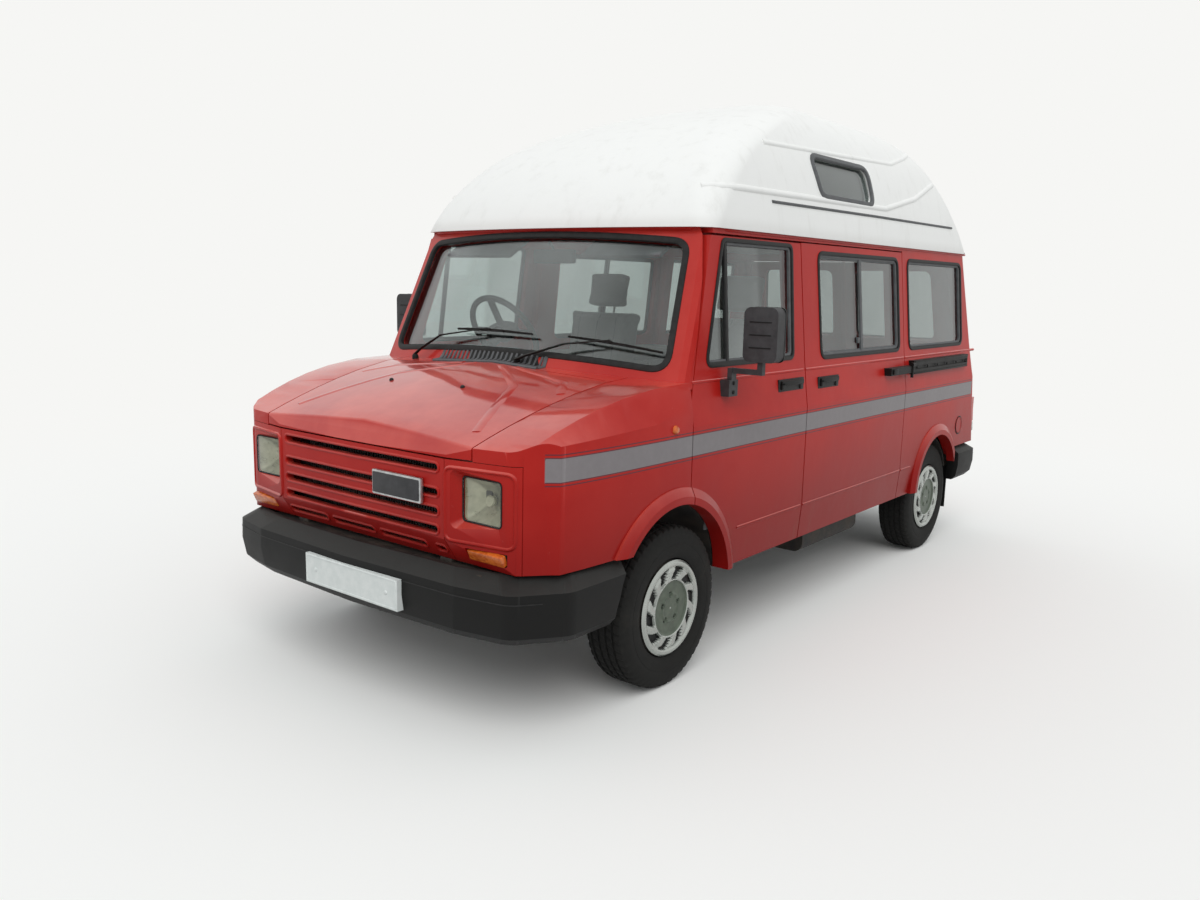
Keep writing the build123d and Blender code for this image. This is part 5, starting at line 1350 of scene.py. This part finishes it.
def filled_pad(name, size, crown, edge, cap):
    """The mesh of one kind of pad, to be copied to both seats."""
    obj = foam_block(name, size, crown)
    bevel = obj.modifiers.new("bevel", "BEVEL")
    bevel.width, bevel.segments = edge, 4
    remesh = obj.modifiers.new("remesh", "REMESH")
    remesh.mode, remesh.voxel_size = "VOXEL", 0.008
    apply_modifiers(obj)
    swell(obj, cap)
    mesh = obj.data
    for face in mesh.polygons:
        face.use_smooth = True
    mesh.materials.append(MATERIALS["seat_fabric"])
    bpy.data.objects.remove(obj)
    return mesh


def place_pad(name, mesh, matrix):
    """Copies a filled pad onto a seat."""
    obj = new_object(name, mesh.copy())
    obj.data.transform(matrix)
    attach(obj, "body")
    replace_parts(obj, "seats")
    return obj


def up_the_back(x, rise, behind=0.050):
    """Place on a seat's leaning back, in metres up from its pivot line and behind it."""
    return at(x, SEAT_PIVOT_Y, SEAT_PIVOT_Z) + SEAT_LEAN @ Vector((0, behind, rise))


def make_seats():
    """Two cab seats: crowned cushion, leaning back and headrest, seams over them and plinths below."""
    pads = {name: filled_pad(name, *given) for name, given in PADS.items()}
    for side, sign in SIDES:
        x = sign * SEAT_X
        cushion = place_pad(f"seat_cushion_{side}", pads["pad_cushion"], Matrix.Translation(at(x, 825, 838)))
        leaning = [Matrix.Translation(up_the_back(x, rise)) @ SEAT_LEAN for rise in (0.262, 0.598)]
        back = place_pad(f"seat_back_{side}", pads["pad_back"], leaning[0])
        place_pad(f"seat_head_{side}", pads["pad_head"], leaning[1])
        base = Piece()
        base.block(x - 205, x + 205, 620, 1040, 500, 772, 12)
        base.block(x - 232, x + 232, 598, 1052, 768, 790, 8, paint=1)
        for dx in (-50, 50):
            base.tube([up_the_back(x + dx, rise) for rise in (0.480, 0.540)], 6, paint=2)
        lever_x, hinge_x = x + sign * 236, x + sign * 228
        base.tube([(lever_x, 760, 800), (lever_x, 900, 812)], 8, paint=1)
        base.block(hinge_x - 8, hinge_x + 8, 780, 1000, 770, 850, 6, paint=1)
        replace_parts(base.done(f"seat_base_{side}", ["card", "black_trim", "bare_steel"]), "seats")
        make_seams(side, x, cushion, back)


def make_seams(side, x, cushion, back):
    """Stitched seams lying on the filled pads, brought down onto them by rays."""
    seams = Piece()
    stitching = even((-2.5, -2), (-2, 1.2), (0, 2))
    top, face = target(cushion), target(back)
    rearwards = SEAT_LEAN.to_3x3() @ Vector((0, 1, 0))
    for dx in (-120, 0, 120):
        along = [(x + dx, y, 1000) for y in range(632, 1011, 21)]
        seams.ribbon(cast(top, along, (0, 0, -1)), stitching)
        starts = [up_the_back(x + dx, rise, -0.2) for rise in spaced(0.06, 0.465, 18)]
        line = [(start, *hit(face, start, rearwards)) for start in starts]
        line = [(place, normal) for start, place, normal in line if (place - start).length > MISSED]
        seams.ribbon(zip(*line), stitching)
    seams.done(f"seat_seams_{side}", "card")


def make_dash_details():
    """Instrument hood, dials, vents and switches."""
    dash = Piece()
    hub_x = STEERING_HUB[0]
    dash.block(hub_x - 190, hub_x + 190, 150, 320, 1170, 1222, 22)
    dash.block(hub_x - 165, hub_x + 165, 318, 334, 1110, 1200, 6, paint=1)
    for x in (hub_x - 82, hub_x + 82):
        dash.knob((x, 330, 1158), ((0, 46), (8, 46), (8, 41), (4, 40)), 32, "Y", paint=2)
    for x in (-690, -120, 120, 690):
        dash.block(x - 52, x + 52, 338, 350, 1120, 1165, 5, paint=1)
        for z in range(1124, 1164, 8):
            dash.block(x - 46, x + 46, 348, 354, z, z + 3, 1, paint=2, segments=1)
    dash.block(180, 560, 338, 352, 960, 1090, 8)
    dash.block(320, 420, 350, 360, 1066, 1080, 4, paint=1)
    dash.block(-90, 90, 338, 350, 965, 1085, 6, paint=1)
    for x in (-60, -20, 20, 60):
        dash.knob((x, 348, 1000), ((0, 13), (14, 11)), 18, "Y", paint=2)
    dash.done("dash_details", ["grey_trim", "black_trim", "rubber"])


def make_controls():
    """Gear lever in its boot, and the pedals."""
    lever = Piece()
    lever.tube([(0, 430, 505), (0, 430, 530), (0, 436, 560)], [70, 52, 18], 20)
    lever.tube([(0, 436, 545), (0, 450, 760)], 7, 12)
    lever.tube([(0, 450, 752), (0, 452, 772), (0, 453, 800), (0, 453, 810)], [12, 24, 22, 8], 18)
    for x in (-475, -400, -325):
        lever.block(x - 26, x + 26, 196, 210, 590, 660, 5)
        lever.tube([(x, 208, 640), (x, 150, 800)], 7)
    lever.done("gear_lever_and_pedals", "rubber")


def make_mirror_and_visors():
    """Inside mirror on its stalk, and the two sun visors folded up."""
    mirror = Piece()
    mirror.block(-115, 115, 250, 278, 1600, 1660, 12)
    mirror.block(-106, 106, 276, 281, 1607, 1653, 3, paint=1)
    mirror.tube([(0, 262, 1650), (0, 232, 1690)], 7)
    mirror.done("interior_mirror", ["black_trim", "mirror_glass"])
    visors = Piece()
    lean = Matrix.Rotation(math.radians(-58), 3, "X")
    for sign in (-1, 1):
        visors.block(sign * 200, sign * 600, 255, 275, 1590, 1750, 9, lean)
        visors.tube([(sign * 610, 235, 1702), (sign * 560, 232, 1698), (sign * 190, 232, 1698)], 5, 8)
    visors.done("sun_visors", "card")


def make_door_cards():
    """Lining of the front doors, with armrest, window winder and inner handle."""
    for side, sign in SIDES:
        card = Piece()
        x = HALF_WIDTH - 52
        card.block(sign * x, sign * (x - 10), 270, 940, 560, 1150, 8)
        card.block(sign * (x - 8), sign * (x - 50), 480, 800, 850, 890, 12, paint=1)
        spindle = ((0, 0.5), (0, 22), (14, 18), (16, 0.5))
        card.lathe((sign * (x - 10), 420, 790), spindle, 20, "X", -sign, paint=1)
        card.tube([(sign * (x - 22), 420, 790), (sign * (x - 26), 420, 700)], 6, paint=1)
        card.tube([(sign * (x - 26), 420, 698), (sign * (x - 56), 420, 698)], 9, 12, paint=1)
        card.block(sign * (x - 8), sign * (x - 16), 700, 780, 1000, 1030, 4, paint=1)
        card.done(f"door_card_{side}", ["card", "black_trim"], f"front_door_{side}")


def make_steering_pad():
    """Domed pad over the steering wheel's hub, wider than it is high."""
    turn = Matrix.Rotation(math.radians(STEERING_LEAN), 3, "X")
    hub = at(*STEERING_HUB)
    rings = []
    for r, lift in ((0, 34), (40, 34), (62, 30), (72, 18), (74, 6)):
        ring = [Vector((1.25 * r * math.cos(t), 0.85 * r * math.sin(t) - 6, lift)) for t in turns(28)]
        rings.append([hub + turn @ point / 1000 for point in ring])
    pad = Piece()
    pad.sweep(rings, caps=False)
    pad.done("steering_pad", "black_trim", "steering_wheel")


def make_load_space():
    """Camper fittings seen through the windows: a run of cupboards with a worktop and a hob."""
    units = Piece()
    units.block(-760, -330, 1120, 2060, 500, 1130, 8)
    units.block(-768, -322, 1112, 2068, 1128, 1150, 6, paint=1)
    for y in (1130, 1442, 1754):
        units.block(-334, -324, y, y + 296, 540, 1110, 4, paint=2)
        units.block(-326, -316, y + 240, y + 270, 820, 832, 3, paint=3)
    units.block(-540, -350, 1250, 1420, 1146, 1156, 4, paint=3)
    units.done("cupboards", ["card", "pale_trim", "pale_trim", "bare_steel"])


# ---------------------------------------------------------------- underneath
def make_underbody():
    """Floor ribs, brake pipes and the rear dampers."""
    under = Piece()
    for y in range(560, 3260, 300):
        under.block(-560, 560, y - 22, y + 22, 436, 456, 6)
    for x in (-300, 300):
        under.tube([(x, 380, 440), (x, 1500, 432), (x + 20, 2500, 440)], 5, 8)
    under.done("floor_ribs", "chassis")
    for side, sign in SIDES:
        damper = Piece()
        damper.tube([(sign * 470, 2650, 330), (sign * 440, 2560, 450)], 26, 16)
        damper.tube([(sign * 480, 2690, 280), (sign * 468, 2645, 336)], 12, 12)
        damper.done(f"rear_damper_{side}", "chassis")


def make_engine_bay():
    """Rocker cover with its filler cap, and the air cleaner, on the plain engine block."""
    bay = Piece()
    bay.block(-90, 90, -520, -90, 958, 985, 16)
    bay.knob((0, -440, 984), ((0, 26), (12, 26), (16, 18)), 20, "Z", paint=1)
    bay.knob((150, -330, 958), ((0, 95), (50, 95), (58, 84)), 36, "Z")
    bay.done("engine_top", ["engine_block", "rubber"])


soften("bumpers", "body", 16, lambda normal: True)
soften("bonnet", "bonnet", 14, lambda normal: normal.z > 0.05)
soften("front_wings", "body", 12, lambda normal: normal.z > -0.2)
soften("front_panels", "body", 5, lambda normal: normal.y < -0.05)
make_side_windows()
make_windscreen_seal()
make_rear_windows()
make_roof_windows()
make_roof_details()
make_gutter()
make_grille()
make_radiator()
make_headlamps()
make_valance()
make_bonnet_creases()
make_cowl()
wiper("left", 103, ((327, 48), (516, 86)), ((323, 87), (734, 72)))
wiper("right", -523, ((-384, 50), (-108, 88)), ((-301, 88), (140, 82)))
make_bumper_lines()
make_plates()
make_side_details()
make_left_details()
make_wheels()
make_rear_details()
make_seats()
make_dash_details()
make_controls()
make_mirror_and_visors()
make_door_cards()
make_steering_pad()
make_load_space()
make_underbody()
make_engine_bay()
